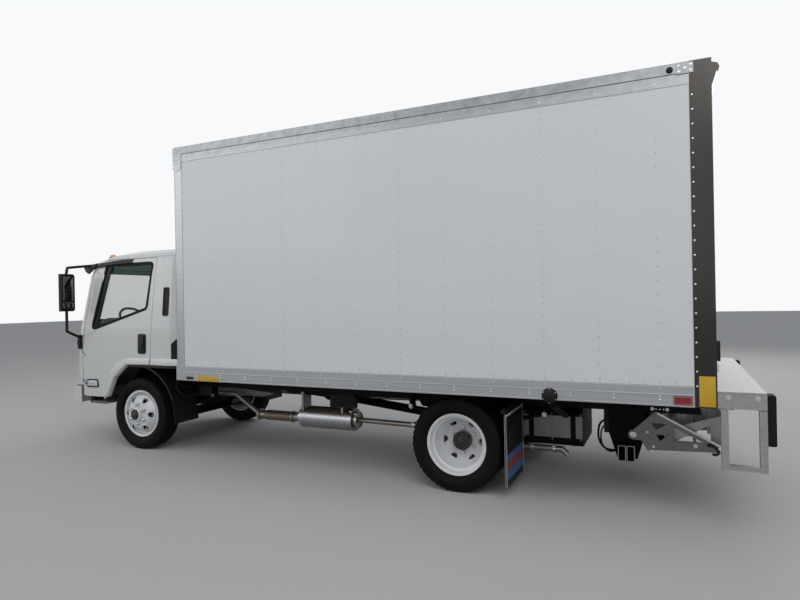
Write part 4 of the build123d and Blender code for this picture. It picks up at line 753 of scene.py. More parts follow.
# Cab side: seals, handle, vent, lamp, visor, flare
WINDOW = [(2.987, 2.098), (2.255, 2.098), (2.312, 1.591), (3.173, 1.353)]
for hand, side in SIDES:
    place = on_side(side)
    door = f"door_{hand}"
    piece = Form().band(WINDOW, 0.05, -0.012, 0.016, place, -0.01, 0.005)
    piece.make(f"window_seal_{hand}", "rubber_black", door)
    piece = Form().pad([(2.96, 2.094), (2.895, 2.094), (3.072, 1.388), (3.14, 1.372)], 0.012, place, -0.004,
                       0.002, 0.001)
    piece.make(f"window_front_band_{hand}", "plastic_black", door)
    visor = Form()
    top = [(3.225, 2.105), (3.1, 2.125), (2.9, 2.142), (2.7, 2.152), (2.58, 2.155)]
    for (x0, z0), (x1, z1) in zip(top, top[1:]):
        visor.prism(over_x(x0, [(side * (cab_side(x0, z0) + 0.002), z0 - 0.004),
                                (side * (cab_side(x0, z0) + 0.034), z0 - 0.046),
                                (side * (cab_side(x0, z0) + 0.038), z0 - 0.04),
                                (side * (cab_side(x0, z0) + 0.006), z0 + 0.004)]),
                    Vector((x1 - x0, side * (cab_side(x1, z1) - cab_side(x0, z0)), z1 - z0)))
    visor.make(f"rain_visor_{hand}", "plastic_black", door)
    piece = Form().pad(rect(2.303, 1.085, 2.427, 1.307), 0.03, place, 0.0, 0.006)
    piece.make(f"handle_plate_{hand}", "plastic_black", door)
    lever = Form()
    lever.pad(rect(2.325, 1.15, 2.405, 1.285), 0.016, place, 0.006, 0.022, 0.005)
    lever.lathe(Vector(place(2.365, 1.116, 0.006)), (0, side, 0), [(0, 0.014), (0.004, 0.014), (0.005, 0.01)],
                20, 1)
    lever.make(f"handle_lever_{hand}", "plastic_black", door)
    vent = Form()
    vent.band(rect(1.979, 1.506, 2.063, 1.818), 0.022, -0.012, 0.0, place, 0, 0.007)
    vent.pad(rect(1.985, 1.512, 2.057, 1.812), 0.018, place, 0, 0.002)
    for k in range(11):
        z = 1.535 + 0.0254 * k
        vent.prism([place(1.99, z, 0.001), place(1.99, z + 0.012, 0.001), place(1.99, z + 0.004, 0.006)],
                   (0.062, 0, 0))
    vent.make(f"cab_vent_{hand}", "plastic_black", "cab")
    lamp = Form()
    frame_points = [(3.073, 0.69), (3.262, 0.685), (3.269, 0.765), (3.09, 0.77)]
    lamp.band(frame_points, 0.018, -0.008, 0.006, place, 0.0, 0.008)
    lamp.make(f"side_lamp_bezel_{hand}", "plastic_black", door)
    bowl = Form()
    bowl.pad(grow(frame_points, -0.006), 0.012, place, 0.0, 0.003)
    for x, z in ((3.125, 0.728), (3.215, 0.728)):
        bowl.lathe(place(x, z, 0.0), (0, side, 0),
                   [(0.003, 0.03), (0.006, 0.028), (0.004, 0.014), (0.009, 0.006)], 20, 1)
    bowl.make(f"side_lamp_reflector_{hand}", "chrome", door)
    piece = Form().pad(grow(frame_points, -0.008), 0.01, place, 0.009, 0.013)
    piece.make(f"side_lamp_lens_{hand}", "clear_lens", door)
    door_edge = [(2.935, 0.59), (2.812, 0.806), (2.7, 0.905), (2.6, 0.966), (2.46, 0.97), (2.25, 0.972)]
    door_crease = [(3.01, 0.59), (2.88, 0.86), (2.76, 0.975), (2.64, 1.026), (2.48, 1.034), (2.244, 1.038)]
    back_edge = [(2.228, 0.972), (2.02, 0.97), (1.815, 0.969)]
    back_crease = [(2.222, 1.038), (2.02, 1.038), (1.815, 1.038)]
    flares = (("door", door, door_edge, door_crease), ("back", "cab", back_edge, back_crease))
    for part, body, edge, crease in flares:
        flare = Form()
        rows = []
        for (x0, z0), (x1, z1) in zip(edge, crease):
            rows.append([place(x0, z0, -0.002), place(x0, z0, 0.014),
                         place(x0 * 0.5 + x1 * 0.5, z0 * 0.5 + z1 * 0.5, 0.013), place(x1, z1, 0.004),
                         place(x1, z1, -0.002)])
        flare.loops(rows, closed=False)
        flare.loops([[row[0], row[-1]] for row in rows], closed=False)
        flare.make(f"arch_flare_{part}_{hand}", "paint_white", body, angle=25)

# Mirrors: glass towards the driver, brackets and covers
for hand, side in SIDES:

    def mirror_face(u, v, depth, s=side):
        return (MIRROR_FACE - depth, s * u, v)

    glass = Form()
    glass.pad(rect(1.118, 1.69, 1.252, 1.975), 0.015, mirror_face, 0.003, 0.006, 0.002)
    glass.pad(rect(1.12, 1.606, 1.182, 1.676), 0.024, mirror_face, 0.003, 0.009, 0.006)
    glass.pad(rect(1.188, 1.606, 1.25, 1.676), 0.024, mirror_face, 0.003, 0.009, 0.006)
    glass.make(f"mirror_glass_{hand}", "mirror_glass", MIRROR_BODY)
    rim = Form()
    rim.band(rect(1.106, 1.58, 1.264, 1.992), 0.022, -0.008, 0.0, mirror_face, 0.0, 0.009)
    rim.band(rect(1.118, 1.69, 1.252, 1.975), 0.015, -0.002, 0.004, mirror_face, 0.0, 0.007)
    rim.make(f"mirror_rim_{hand}", "plastic_black", MIRROR_BODY)
    clamps = Form()
    for z in (1.62, 1.94):
        clamps.box((3.386, side * 1.15, z - 0.016), (3.4, side * 1.22, z + 0.016))
        clamps.bolt((3.4, side * 1.165, z), (1, 0, 0), 0.007, 0.005)
        clamps.bolt((3.4, side * 1.205, z), (1, 0, 0), 0.007, 0.005)
    clamps.make(f"mirror_clamps_{hand}", "plastic_black", MIRROR_BODY, bevel=0.002)
    piece = Form().prism([(3.4, side * 0.905, 2.085), (3.3, side * 0.925, 2.112), (3.12, side * 0.935, 2.128),
                          (3.19, side * 0.95, 2.05), (3.255, side * 0.955, 2.005),
                          (3.31, side * 0.945, 2.03)], (0, side * 0.022, 0))
    piece.make(f"mirror_top_bracket_{hand}", "plastic_black", MIRROR_BODY, bevel=0.004)
    sleeves = Form()
    upper = [(3.358, 1.185, 1.99), (3.362, 1.169, 2.058), (3.363, 1.165, 2.075), (3.356, 1.146, 2.078),
             (3.3, 1.0, 2.097), (3.262, 0.902, 2.109)]
    lower = [(3.358, 1.185, 1.58), (3.358, 1.185, 1.362), (3.358, 1.185, 1.34), (3.358, 1.168, 1.331),
             (3.359, 0.99, 1.245)]
    for path in (upper, lower):
        sleeves.tube([(x, side * y, z) for x, y, z in path], 0.0155, 14)
    sleeves.make(f"mirror_arm_sleeves_{hand}", "plastic_black", MIRROR_BODY, angle=60)
    piece = Form().loops([[(3.366 + 0.03 * g * math.cos(t), side * (1.02 + h),
                            1.207 + 0.062 * g * math.sin(t)) for t in turns(24)]
                          for g, h in ((1.0, -0.005), (1.0, 0.006), (0.85, 0.015), (0.5, 0.019))], ends=1)
    piece.make(f"mirror_base_{hand}", "plastic_black", MIRROR_BODY)

# Cab front: seal, wipers, grille, headlamps, bumper openings
SCREEN = [(-0.88, 1.395), (0.88, 1.395), (0.815, 2.085), (-0.815, 2.085)]
Form().band(SCREEN, 0.07, -0.02, 0.012, on_front, -0.01, 0.004).make("windscreen_seal", "rubber_black", "cab")
frit = Form()
frit.band(SCREEN, 0.07, -0.07, -0.018, on_front, -0.0088, -0.008)
frit.pad([(-0.885, 1.3), (0.885, 1.3), (0.875, 1.378), (-0.875, 1.378)], 0.02, on_front, -0.004, 0.0012,
         0.001)
frit.pad(rect(-0.59, 1.12, 0.59, 1.124), 0.001, on_front, -0.004, 0.0008, 0.0004)
frit.make("windscreen_border", "plastic_black", "cab")
cowl = Form()
for k in range(41):
    y = -0.8 + 0.04 * k
    cowl.prism([on_front(y, 1.33, 0.001), on_front(y, 1.362, 0.001), on_front(y, 1.358, 0.007),
                on_front(y, 1.334, 0.007)], (0, 0.014, 0))
cowl.make("cowl_vents", "plastic_black", "cab")
wipers = Form()
for y0, y1, z1 in ((0.62, 0.02, 1.455), (-0.08, -0.7, 1.455)):
    pivot = Vector(on_front(y0, 1.375, 0.004))
    elbow = Vector(on_front((y0 + y1) / 2, 1.425, 0.03))
    wipers.lathe(pivot, (1, 0, 0), [(0, 0.016), (0.018, 0.016), (0.024, 0.01)], 16, 2)
    wipers.tube([pivot + Vector((0.015, 0, 0)), elbow, Vector(on_front(y1 + 0.06, z1, 0.016))], 0.006, 8)
    blade = [Vector(on_front(y0 - 0.06 + (y1 - 0.22 - y0 + 0.06) * k / 10, 1.44 + 0.004 * k, 0.007))
             for k in range(11)]
    wipers.tube(blade, 0.005, 6)
wipers.make("wipers", "plastic_black", "cab")
grille = Form()
GRILLE = [(-0.5, 0.895), (0.5, 0.895), (0.56, 1.045), (-0.56, 1.045)]
grille.band(GRILLE, 0.02, -0.012, 0.004, on_front, 0.0, 0.012)
grille.pad(GRILLE, 0.02, on_front, 0.0, 0.002)
grille.make("grille_frame", "plastic_black", "cab")
bars = Form()
for z in (0.918, 0.95, 0.982, 1.014):
    rows = []
    for k in range(25):
        y = (-0.49 - (z - 0.918) * 0.35) * (1 - k / 12)
        rows.append([on_front(y, z - 0.0055, 0.002), on_front(y, z - 0.004, 0.01),
                     on_front(y, z + 0.004, 0.01), on_front(y, z + 0.0055, 0.002)])
    bars.loops([[row[i] for row in rows] for i in range(4)], closed=False)
bars.make("grille_bars", "rail_alloy", "cab")
for hand, side in SIDES:
    piece = Form().band(rect(side * 0.6, 0.76, side * 0.905, 0.88), 0.02, -0.004, 0.008, on_front, 0.0, 0.006)
    piece.make(f"headlamp_bezel_{hand}", "plastic_black", "cab")
    inner = Form()
    for y in (0.665, 0.775):
        centre = Vector(on_front(side * y, 0.82, -0.004))
        inner.lathe(centre, (1, 0, 0), [(0.008, 0.046), (0.011, 0.044), (0.007, 0.03), (0.004, 0.016),
            (0.012, 0.01), (0.014, 0.004)], 28, 1)
    inner.make(f"headlamp_bowls_{hand}", "chrome", "cab")
    piece = Form().pad(rect(side * 0.842, 0.772, side * 0.895, 0.868), 0.01, on_front, 0.002, 0.008)
    piece.make(f"turn_lamp_{hand}", "amber_lens", "cab")


def bumper_front(y, z, depth):
    """A place on the face of the bumper."""
    hit, place = NODES["front_bumper"].ray_cast((5.0, y, z), (-1.0, 0.0, 0.0))[:2]
    return (min(place.x + depth, cad_high[0]) if hit else NOSE - 0.05, y, z)


def bumper_strip(form, y0, y1, z0, z1, low, high, steps=16):
    """A plate that follows the bumper between two heights."""
    ys = [y0 + (y1 - y0) * k / steps for k in range(steps + 1)]
    rows = [[bumper_front(y, z, d) for z, d in ((z0, low), (z0, high), (z1, high), (z1, low))] for y in ys]
    form.loops(rows, ends=2)


intake = Form()
for side in (1, -1):
    bumper_strip(intake, side * 0.19, side * 0.44, 0.5, 0.606, -0.003, 0.0006)
    bumper_strip(intake, side * 0.56, side * 0.765, 0.51, 0.62, -0.003, 0.001, 8)
    bumper_strip(intake, side * 0.8, side * 0.88, 0.5, 0.528, -0.003, 0.001, 4)
intake.make("bumper_intake", "plastic_black")
slats = Form()
for z in (0.524, 0.548, 0.572):
    for side in (1, -1):
        bumper_strip(slats, side * 0.208, side * 0.43, z, z + 0.008, 0.0004, 0.001, 24)
slats.make("bumper_slats", "inside_grey")
# Dark grey lines along the bumper creases: painted shade in the creases
crease = Form()
for z in (0.632, 0.668):
    for side in (1, -1):
        bumper_strip(crease, side * 0.19, side * 0.8, z, z + 0.003, -0.002, 0.0004, 32)
crease.make("bumper_crease_painted_shade", "inside_grey")
for hand, side in SIDES:
    fog = Form()
    centre = Vector(bumper_front(side * 0.66, 0.565, 0.0008))
    fog.lathe(centre, (1, 0, 0), [(0.0, 0.046), (0.006, 0.046), (0.007, 0.041), (0.003, 0.038),
        (0.001, 0.012), (0.005, 0.005)], 28, 1)
    fog.make(f"fog_lamp_{hand}", "chrome")

# Cab: marker lamps, rear window seal, back ribs and gutters
domes = Form()
bases = Form()
for y, foot_z in ((-0.7, 2.205), (-0.16, 2.22), (0.0, 2.22), (0.16, 2.22), (0.7, 2.205)):
    foot = Vector((NOSE - 0.43, y, foot_z))
    domes.lathe(foot, (0, 0, 1), [(0.004, 0.042), (0.018, 0.042), (0.032, 0.033), (0.04, 0.019),
        (0.043, 0.006)], 24, 2)
    bases.lathe(foot, (0, 0, 1), [(-0.016, 0.048), (0.002, 0.048), (0.005, 0.043)], 24, 2)
domes.make("roof_marker_domes", "amber_lens", "cab")
bases.make("roof_marker_bases", "plastic_black", "cab")
piece = Form().band(rect(-0.45, 1.665, 0.45, 1.995), 0.05, -0.012, 0.016, at_x(CAB_BACK, -1), -0.01, 0.006)
piece.make("rear_window_seal", "rubber_black", "cab")
ribs = Form()
for z0, z1 in ((1.05, 1.2), (1.24, 1.4), (1.44, 1.6)):
    for y0, y1 in ((-0.82, -0.46), (-0.4, -0.04), (0.04, 0.4), (0.46, 0.82)):
        ribs.pad(rect(y0, z0, y1, z1), 0.03, at_x(CAB_BACK, -1), 0.0, 0.006, 0.006)
ribs.make("cab_back_ribs", "paint_white", "cab")
for hand, side in SIDES:
    gutter = Form()
    path = [Vector((x, side * (cab_side(x, z) + 0.002), z))
            for x, z in ((3.19, 2.135), (3.0, 2.165), (2.7, 2.172), (2.2, 2.172), (1.96, 2.172))]
    gutter.tube(path, 0.005, 8)
    gutter.make(f"roof_gutter_{hand}", "paint_white", "cab")

# Cab: black trim on the lower rear corners, hoses behind the cab, and the inside
for hand, side in SIDES:
    trim = Form()
    corner_a, corner_b = Vector((1.949, side * 1.0, 0)), Vector((CAB_BACK, side * 0.9, 0))
    out = Vector((-(corner_a.y - corner_b.y), corner_a.x - corner_b.x, 0)) * (1 if side > 0 else -1)
    out.normalize()
    low_edge, high_edge = 0.972, 1.25
    rows = []
    for z in (low_edge, high_edge - 0.05, high_edge):
        narrow = 0.3 if z == high_edge else 0.0
        start, end = corner_a.lerp(corner_b, 0.05 + narrow), corner_a.lerp(corner_b, 0.95)
        rows.append([tuple(p + Vector((0, 0, z)))
                     for p in (start + out * 0.001, start + out * 0.01, end + out * 0.01, end + out * 0.001)])
    trim.loops(rows, closed=True, ends=2)
    trim.make(f"cab_corner_trim_{hand}", "plastic_black", "cab", bevel=0.002)
    bundle = Form()
    for k in range(3):
        y = side * (0.8 + 0.03 * k)
        bundle.pipe([(1.775, y, 1.24 - 0.05 * k), (1.765, y + side * 0.02, 1.05), (1.75, y, 0.92),
                     (1.7, y - side * 0.1, 0.86)], 0.011, 8)
    bundle.box((1.66, side * 0.7, 0.912), (1.7, side * 0.94, 1.245))
    bundle.make(f"cab_rear_bundle_{hand}", "plastic_black")
    belt = Form()
    belt.pipe([(2.24, side * 0.93, 2.0), (2.22, side * 0.925, 1.7), (2.18, side * 0.91, 1.35)], 0.01, 6)
    belt.box((2.215, side * 0.905, 1.96), (2.265, side * 0.935, 2.03))
    belt.make(f"seat_belt_{hand}", "rubber_black", "cab")
    piece = Form().prism(over_y(side * 0.14, [(3.175, 2.075), (3.06, 2.12), (3.062, 2.132), (3.18, 2.09)]),
                         (0, side * 0.52, 0))
    piece.make(f"sun_visor_{hand}", "inside_grey", "cab", bevel=0.004)
dash_top = Form()
dash_top.prism(over_y(-0.925, [(3.262, 1.384), (3.24, 1.405), (3.262, 1.428), (3.33, 1.44), (3.42, 1.42),
                               (3.44, 1.384)]), (0, 1.85, 0))
dash_top.prism(over_y(0.27, [(3.262, 1.384), (3.228, 1.41), (3.236, 1.452), (3.3, 1.478), (3.4, 1.455),
                             (3.43, 1.384)]), (0, 0.42, 0))
dash_top.make("dash_top", "inside_grey", "cab", bevel=0.012, segments=3)
piece = Form().pad([(0.33, 1.392), (0.63, 1.392), (0.61, 1.462), (0.35, 1.462)], 0.03, at_x(3.25, -1), -0.09,
                   0.004, 0.01)
piece.make("instrument_hood", "inside_grey", "cab", angle=40)
faces = Form()
for y, r in ((0.415, 0.028), (0.545, 0.028), (0.48, 0.014)):
    faces.lathe((3.246, y, 1.427), (-1, 0, 0), [(0, r), (0.0035, r), (0.0035, r - 0.004), (0.002, r - 0.005)],
                32, 1)
faces.make("instrument_dials", "zinc_bolt", "cab")
console = Form()


def dash_face(u, v, depth):
    """A place on the leaning face of the dashboard."""
    return (3.182 + (1.32 - v) * 0.14 - depth, u, v)


def vent_face(u, v, depth):
    """A place on the steeper face above it, where the vents are."""
    return (3.199 + (v - 1.32) * 0.9 - depth, u, v)


for y in (-0.78, -0.1, 0.12, 0.8):
    console.band(rect(y - 0.06, 1.335, y + 0.06, 1.372), 0.008, -0.006, 0.0, vent_face, 0.004, 0.012)
    for j in range(4):
        z = 1.341 + 0.008 * j
        console.box((3.192 + (z - 1.32) * 0.9, y - 0.055, z),
                    (3.199 + (z - 1.32) * 0.9, y + 0.055, z + 0.002))
console.pad(rect(-0.09, 1.21, 0.11, 1.305), 0.008, dash_face, 0.0, 0.008)
for z in (1.228, 1.258, 1.288):
    console.lathe((3.18, 0.01, z), (-1, 0, 0), [(0, 0.01), (0.016, 0.01), (0.018, 0.007)], 16, 1)
console.pad(rect(-0.76, 1.205, -0.3, 1.3), 0.015, dash_face, 0.0, 0.006)
console.box((3.17, -0.56, 1.285), (3.18, -0.5, 1.294))
console.make("dash_fittings", "plastic_black", "cab")
lever = Form()
lever.pipe([(2.985, 0.135, 0.96), (2.975, 0.13, 1.08), (2.955, 0.125, 1.2)], 0.009, 10)
lever.lathe((2.955, 0.125, 1.2), (-0.1, 0, 1),
            [(-0.01, 0.012), (0.005, 0.022), (0.03, 0.025), (0.048, 0.018), (0.054, 0.006)], 20, 2)
lever.lathe((2.985, 0.135, 0.9552), (0, 0, 1), [(0, 0.06), (0.02, 0.045), (0.04, 0.022), (0.06, 0.014)], 20,
            1)
for y, w in ((0.34, 0.045), (0.455, 0.06), (0.59, 0.06)):
    lever.box((3.215, y - w / 2, 1.01), (3.225, y + w / 2, 1.085))
    lever.bar((3.222, y, 1.06), (3.29, y, 1.15), 0.006, 8)
lever.make("gear_lever_and_pedals", "plastic_black", "cab", bevel=0.001)
stalks = Form()
for side in (1, -1):
    hub = Vector((3.075, 0.48, 1.43))
    stalks.tube([hub + Vector((0, side * 0.03, 0)), hub + Vector((-0.005, side * 0.09, 0.01)),
                 hub + Vector((-0.01, side * 0.15, 0.022))], 0.006, 8)
stalks.make("column_stalks", "plastic_black", "cab")
for hand, side in SIDES:
    inner = Form()
    rail_y = 0.93
    inner.box((2.36, side * (rail_y - 0.03), 1.18), (2.76, side * rail_y, 1.22))
    inner.box((2.42, side * (rail_y - 0.01), 0.96), (2.9, side * rail_y, 1.12))
    inner.pipe([(2.5, side * (rail_y - 0.034), 1.218), (2.56, side * (rail_y - 0.05), 1.245),
                (2.66, side * (rail_y - 0.05), 1.245), (2.72, side * (rail_y - 0.034), 1.218)], 0.01, 8)
    inner.make(f"door_armrest_{hand}", "inside_grey", f"door_{hand}", bevel=0.006)

# Black sleeves on the walls of the hand holes of the wheels: painted shade in the holes
for hand, side in SIDES:
    for wheel, axle_x in ((f"wheel_front_{hand}", FRONT_AXLE), (f"wheels_rear_{hand}", REAR_AXLE)):
        holes = Form()
        for k in range(6):
            angle = math.radians(60 * k)
            across = Vector((-math.sin(angle), 0.0, math.cos(angle)))
            middle = Vector((axle_x + HAND_HOLE_REACH * math.cos(angle), 0.0,
                             AXLE_Z + HAND_HOLE_REACH * math.sin(angle)))
            start = middle + across * 0.031 + Vector((0.0, side * 2.0, 0.0))
            hit, place = NODES[wheel].ray_cast(start, (0.0, -side, 0.0))[:2]
            face = Vector((middle.x, place.y if hit else side * 0.9, middle.z))
            holes.lathe(face, (0, -side, 0), rect(0.0, 0.0278, 0.016, 0.027), 28)
        holes.make(f"hand_hole_painted_shade_{wheel}", "plastic_black", wheel, angle=60)

# Wheel arch liners, steps and splash guards
for hand, side in SIDES:
    liner = Form()
    rows = []
    for k in range(29):
        angle = math.radians(24 + 136 * k / 28)
        rows.append([(FRONT_AXLE + r * math.cos(angle), side * y, AXLE_Z + r * math.sin(angle))
                     for y, r in ((0.66, 0.548), (0.662, 0.552), (0.955, 0.552), (0.958, 0.536),
            (0.952, 0.536), (0.95, 0.546), (0.664, 0.546))])
    liner.loops(rows, ends=2)
    liner.make(f"arch_liner_{hand}", "plastic_black", angle=50)
    piece = Form().prism(over_y(side * 0.62, [(1.985, 0.64), (1.925, 0.33), (1.935, 0.33), (1.997, 0.64)]),
                         (0, side * 0.34, 0))
    piece.make(f"splash_guard_{hand}", "rubber_black", bevel=0.002)
    step = Form()
    step.box((2.97, side * 0.78, 0.5), (3.31, side * 0.95, 0.506))
    for k in range(9):
        step.box((2.985 + 0.038 * k, side * 0.795, 0.506), (3.0 + 0.038 * k, side * 0.935, 0.511))
    step.make(f"cab_step_tread_{hand}", "galvanised", "cab")

# Behind the cab: air intake, support and brake lines
snorkel = Form()
snorkel.box((1.69, 0.6, 0.9), (1.775, 0.86, 1.58))
for k in range(9):
    snorkel.box((1.684, 0.62, 1.36 + 0.022 * k), (1.69, 0.84, 1.371 + 0.022 * k))
snorkel.make("air_intake", "plastic_black", bevel=0.006)
frame_behind = Form()
frame_behind.box((1.68, -0.9, 0.88), (1.77, 0.9, 0.912))
frame_behind.box((1.7, FRAME_FACE, 0.7), (1.76, 0.47, 0.885))
frame_behind.box((1.7, -0.47, 0.7), (1.76, -FRAME_FACE, 0.885))
frame_behind.pipe([(1.72, 0.88, 0.9), (1.74, 0.92, 1.0), (1.73, 0.93, 1.18), (1.72, 0.9, 1.3)], 0.014, 8)
frame_behind.pipe([(1.74, 0.8, 0.66), (1.82, 0.9, 0.62), (1.93, 0.93, 0.72), (1.9, 0.92, 0.86)], 0.016, 8)
frame_behind.pipe([(1.76, 0.7, 0.74), (1.86, 0.86, 0.72), (1.96, 0.9, 0.8), (1.84, 0.92, 0.93)], 0.012, 8)
frame_behind.make("cab_rear_support", "chassis_black", bevel=0.003)
lines = Form()
for k in range(4):
    y = 0.3 + 0.024 * k
    lines.pipe([(1.5, y, 0.885), (1.68, y, 0.9), (1.76, y + 0.1, 0.84), (1.9, y + 0.05, 0.78),
                (2.05, y, 0.7)], 0.007, 6)
lines.make("brake_lines_front", "zinc_bolt")

# Frame: bolts, body brackets, wiring, air tank and dosing unit
bolts = Form()
for side in (1, -1):
    for x in [1.36, 0.56, -0.2, REAR_AXLE + 0.52, REAR_AXLE - 0.34, -3.123]:
        for dx, dz in ((-0.035, -0.035), (0.035, -0.035), (-0.035, 0.035), (0.035, 0.035)):
            bolts.bolt((x + dx, side * FRAME_FACE, 0.768 + dz), (0, side, 0), 0.01, 0.008)
    for middle in (REAR_AXLE - 0.64, REAR_AXLE + 0.64):
        for dx, dz in ((-0.05, 0.07), (0.05, 0.07), (-0.05, 0.12), (0.05, 0.12)):
            bolts.bolt((middle + dx, side * FRAME_FACE, 0.661 + dz), (0, side, 0), 0.011, 0.009)
bolts.make("frame_bolts", "zinc_bolt")
ends = Form()
for side in (1, -1):
    for x in (-2.825, -2.938):
        ends.bolt((x, side * FRAME_FACE, 0.689), (0, side, 0), 0.01, 0.008)
    for x in (-2.853, -2.882, -2.911):
        ends.bolt((x, side * FRAME_FACE, 0.688), (0, side, 0), 0.0045, 0.004)
ends.make("frame_end_bolts", "zinc_bolt")
subframe = Form()
for side in (1, -1):
    subframe.box((1.48, side * 0.428, 0.79), (1.3, side * 0.436, 0.94))
    for x in (0.95, 0.2, -0.5, -2.05, -2.6):
        subframe.box((x, side * FRAME_FACE, 0.76), (x - 0.1, side * 0.433, 0.905))
        subframe.box((x, side * FRAME_FACE, 0.897), (x - 0.1, side * 0.56, 0.905))
        subframe.bolt((x - 0.03, side * 0.433, 0.8), (0, side, 0), 0.01, 0.008)
        subframe.bolt((x - 0.07, side * 0.433, 0.8), (0, side, 0), 0.01, 0.008)
subframe.make("body_brackets", "chassis_black", bevel=0.001)
harness = Form()
harness.pipe([(1.9, 0.41, 0.72), (1.3, 0.441, 0.745), (0.6, 0.441, 0.735), (-0.1, 0.441, 0.745),
              (-0.7, 0.441, 0.73), (-1.1, 0.441, 0.79), (-1.6, 0.441, 0.79), (-2.2, 0.441, 0.74),
              (-2.46, 0.441, 0.72)], 0.011, 8, 8)
harness.pipe([(1.8, 0.3, 0.69), (1.2, 0.33, 0.64), (0.4, 0.34, 0.64), (-0.4, 0.34, 0.64),
              (-1.0, 0.345, 0.655)], 0.007, 6, 8)
harness.pipe([(1.8, 0.3, 0.672), (1.2, 0.316, 0.622), (0.4, 0.326, 0.622), (-0.4, 0.326, 0.622),
              (-1.0, 0.33, 0.64)], 0.007, 6, 8)
harness.make("wiring_and_lines", "plastic_black")
tank = Form()
TANK_X, TANK_Y, TANK_Z, TANK_LENGTH, TANK_RADIUS = -0.95, -0.3, 0.545, 0.52, 0.095
tank_profile = [(0, 0.02), (0.015, TANK_RADIUS * 0.7), (0.04, TANK_RADIUS), (TANK_LENGTH - 0.04, TANK_RADIUS),
                (TANK_LENGTH - 0.015, TANK_RADIUS * 0.7), (TANK_LENGTH, 0.02)]
tank.lathe((TANK_X, TANK_Y, TANK_Z), (1, 0, 0), tank_profile, 32, 2)
for k in (0.12, 0.4):
    strap = [(at, TANK_RADIUS + over) for at, over in ((0, 0.001), (0, 0.004), (0.03, 0.004), (0.03, 0.001))]
    tank.lathe((TANK_X + k, TANK_Y, TANK_Z), (1, 0, 0), strap, 32)
    tank.box((TANK_X + k, TANK_Y - 0.012, TANK_Z + TANK_RADIUS - 0.005),
             (TANK_X + k + 0.03, TANK_Y + 0.012, 0.6625))
tank.make("air_tank", "chassis_black")
black_unit = Form()
black_unit.box((0.0, 0.36, 0.52), (0.3, FRAME_FACE, 0.655))
for k in range(6):
    black_unit.box((0.03 + 0.042 * k, FRAME_FACE, 0.53), (0.05 + 0.042 * k, 0.431, 0.645))
black_unit.box((0.12, 0.36, 0.65), (0.18, 0.42, 0.664))
black_unit.make("dosing_unit", "plastic_black", bevel=0.004)

# Exhaust: bellows, shield, clamps
bellows = Form()
profile = [(0.13 + 0.008 * k, 0.0505 if k % 2 else 0.0565) for k in range(44)]
bellows.lathe((0.775, 0.25, 0.345), (1, 0, 0), profile, 28, 2)
bellows.make("exhaust_bellows", "tan_metal")
shield = Form()
turn = [math.radians(a) for a in range(-150, 31, 6)]
rows = []
for x, r in [(0.095 + 0.0125 * k, 0.1185 + (0.003 if k % 4 in (1, 2) else 0.0)) for k in range(51)]:
    rows.append([(x, 0.25 + r * math.cos(t), 0.367 + r * math.sin(t)) for t in turn])
shield.loops(rows, closed=False)
shield.make("silencer_shield", "shield_metal", angle=60)
clamps = Form()
for x, r, y, z in ((0.1, 0.117, 0.25, 0.367), (0.725, 0.117, 0.25, 0.367), (0.765, 0.077, 0.25, 0.36),
                   (-0.59, 0.029, 0.25, 0.359), (0.055, 0.082, 0.25, 0.367), (-1.8, 0.029, 0.3, 0.258),
                   (-2.0, 0.029, 0.3, 0.258)):
    clamps.lathe((x - 0.012, y, z), (1, 0, 0), [(0, r), (0, r + 0.004), (0.024, r + 0.004), (0.024, r)], 32)
    clamps.box((x - 0.014, y + r * 0.6, z + r * 0.8), (x + 0.014, y + r * 0.6 + 0.03, z + r * 0.8 + 0.014))
clamps.make("exhaust_clamps", "zinc_bolt")

# Fuel tank: seams, skin, straps and filler cap
seams = Form()
section = rounded(rect(-0.33, 0.29, 0.33, 0.64), 0.1, 8)


def tank_ring(grow_by, x):
    return [(x, y * (1 + grow_by / 0.33), 0.465 + (z - 0.465) * (1 + grow_by / 0.175)) for y, z in section]


for x in (-2.235, -1.985, -1.735):
    seams.loops([tank_ring(g, x + dx) for g, dx in ((-0.002, -0.004), (0.006, -0.004), (0.006, 0.004),
        (-0.002, 0.004))])
seams.make("tank_seams", "tank_grey")
piece = Form().loops([tank_ring(0.0015, x) for x in (-2.249, -2.12, -1.985, -1.85, -1.721)])
piece.make("tank_skin", "tank_grey")
straps = Form()
for x in (-2.17, -1.8):
    straps.loops([tank_ring(g, x + dx) for g, dx in ((0.002, -0.022), (0.008, -0.022), (0.008, 0.022),
        (0.002, 0.022))])
    for side in (1, -1):
        straps.bolt((x, side * 0.341, 0.465), (0, side, 0), 0.01, 0.01)
straps.make("tank_straps", "chassis_black")
cap = Form()
cap.lathe((-2.137, BODY_HALF + 0.015, 0.885), (0, 1, 0),
          [(0, 0.05), (0.006, 0.05), (0.01, 0.044), (0.012, 0.03), (0.018, 0.03), (0.021, 0.02)], 32, 1)
cap.box((-2.162, BODY_HALF + 0.03, 0.88), (-2.112, BODY_HALF + 0.04, 0.89))
cap.make("filler_cap", "plastic_black", bevel=0.001)
flange = Form()
for k in range(6):
    t = math.radians(60 * k + 30)
    flange.rivet((-2.137 + 0.052 * math.cos(t), BODY_HALF + 0.015, 0.885 + 0.052 * math.sin(t)), (0, 1, 0),
                 0.005, 0.004)
flange.make("filler_screws", "zinc_bolt")

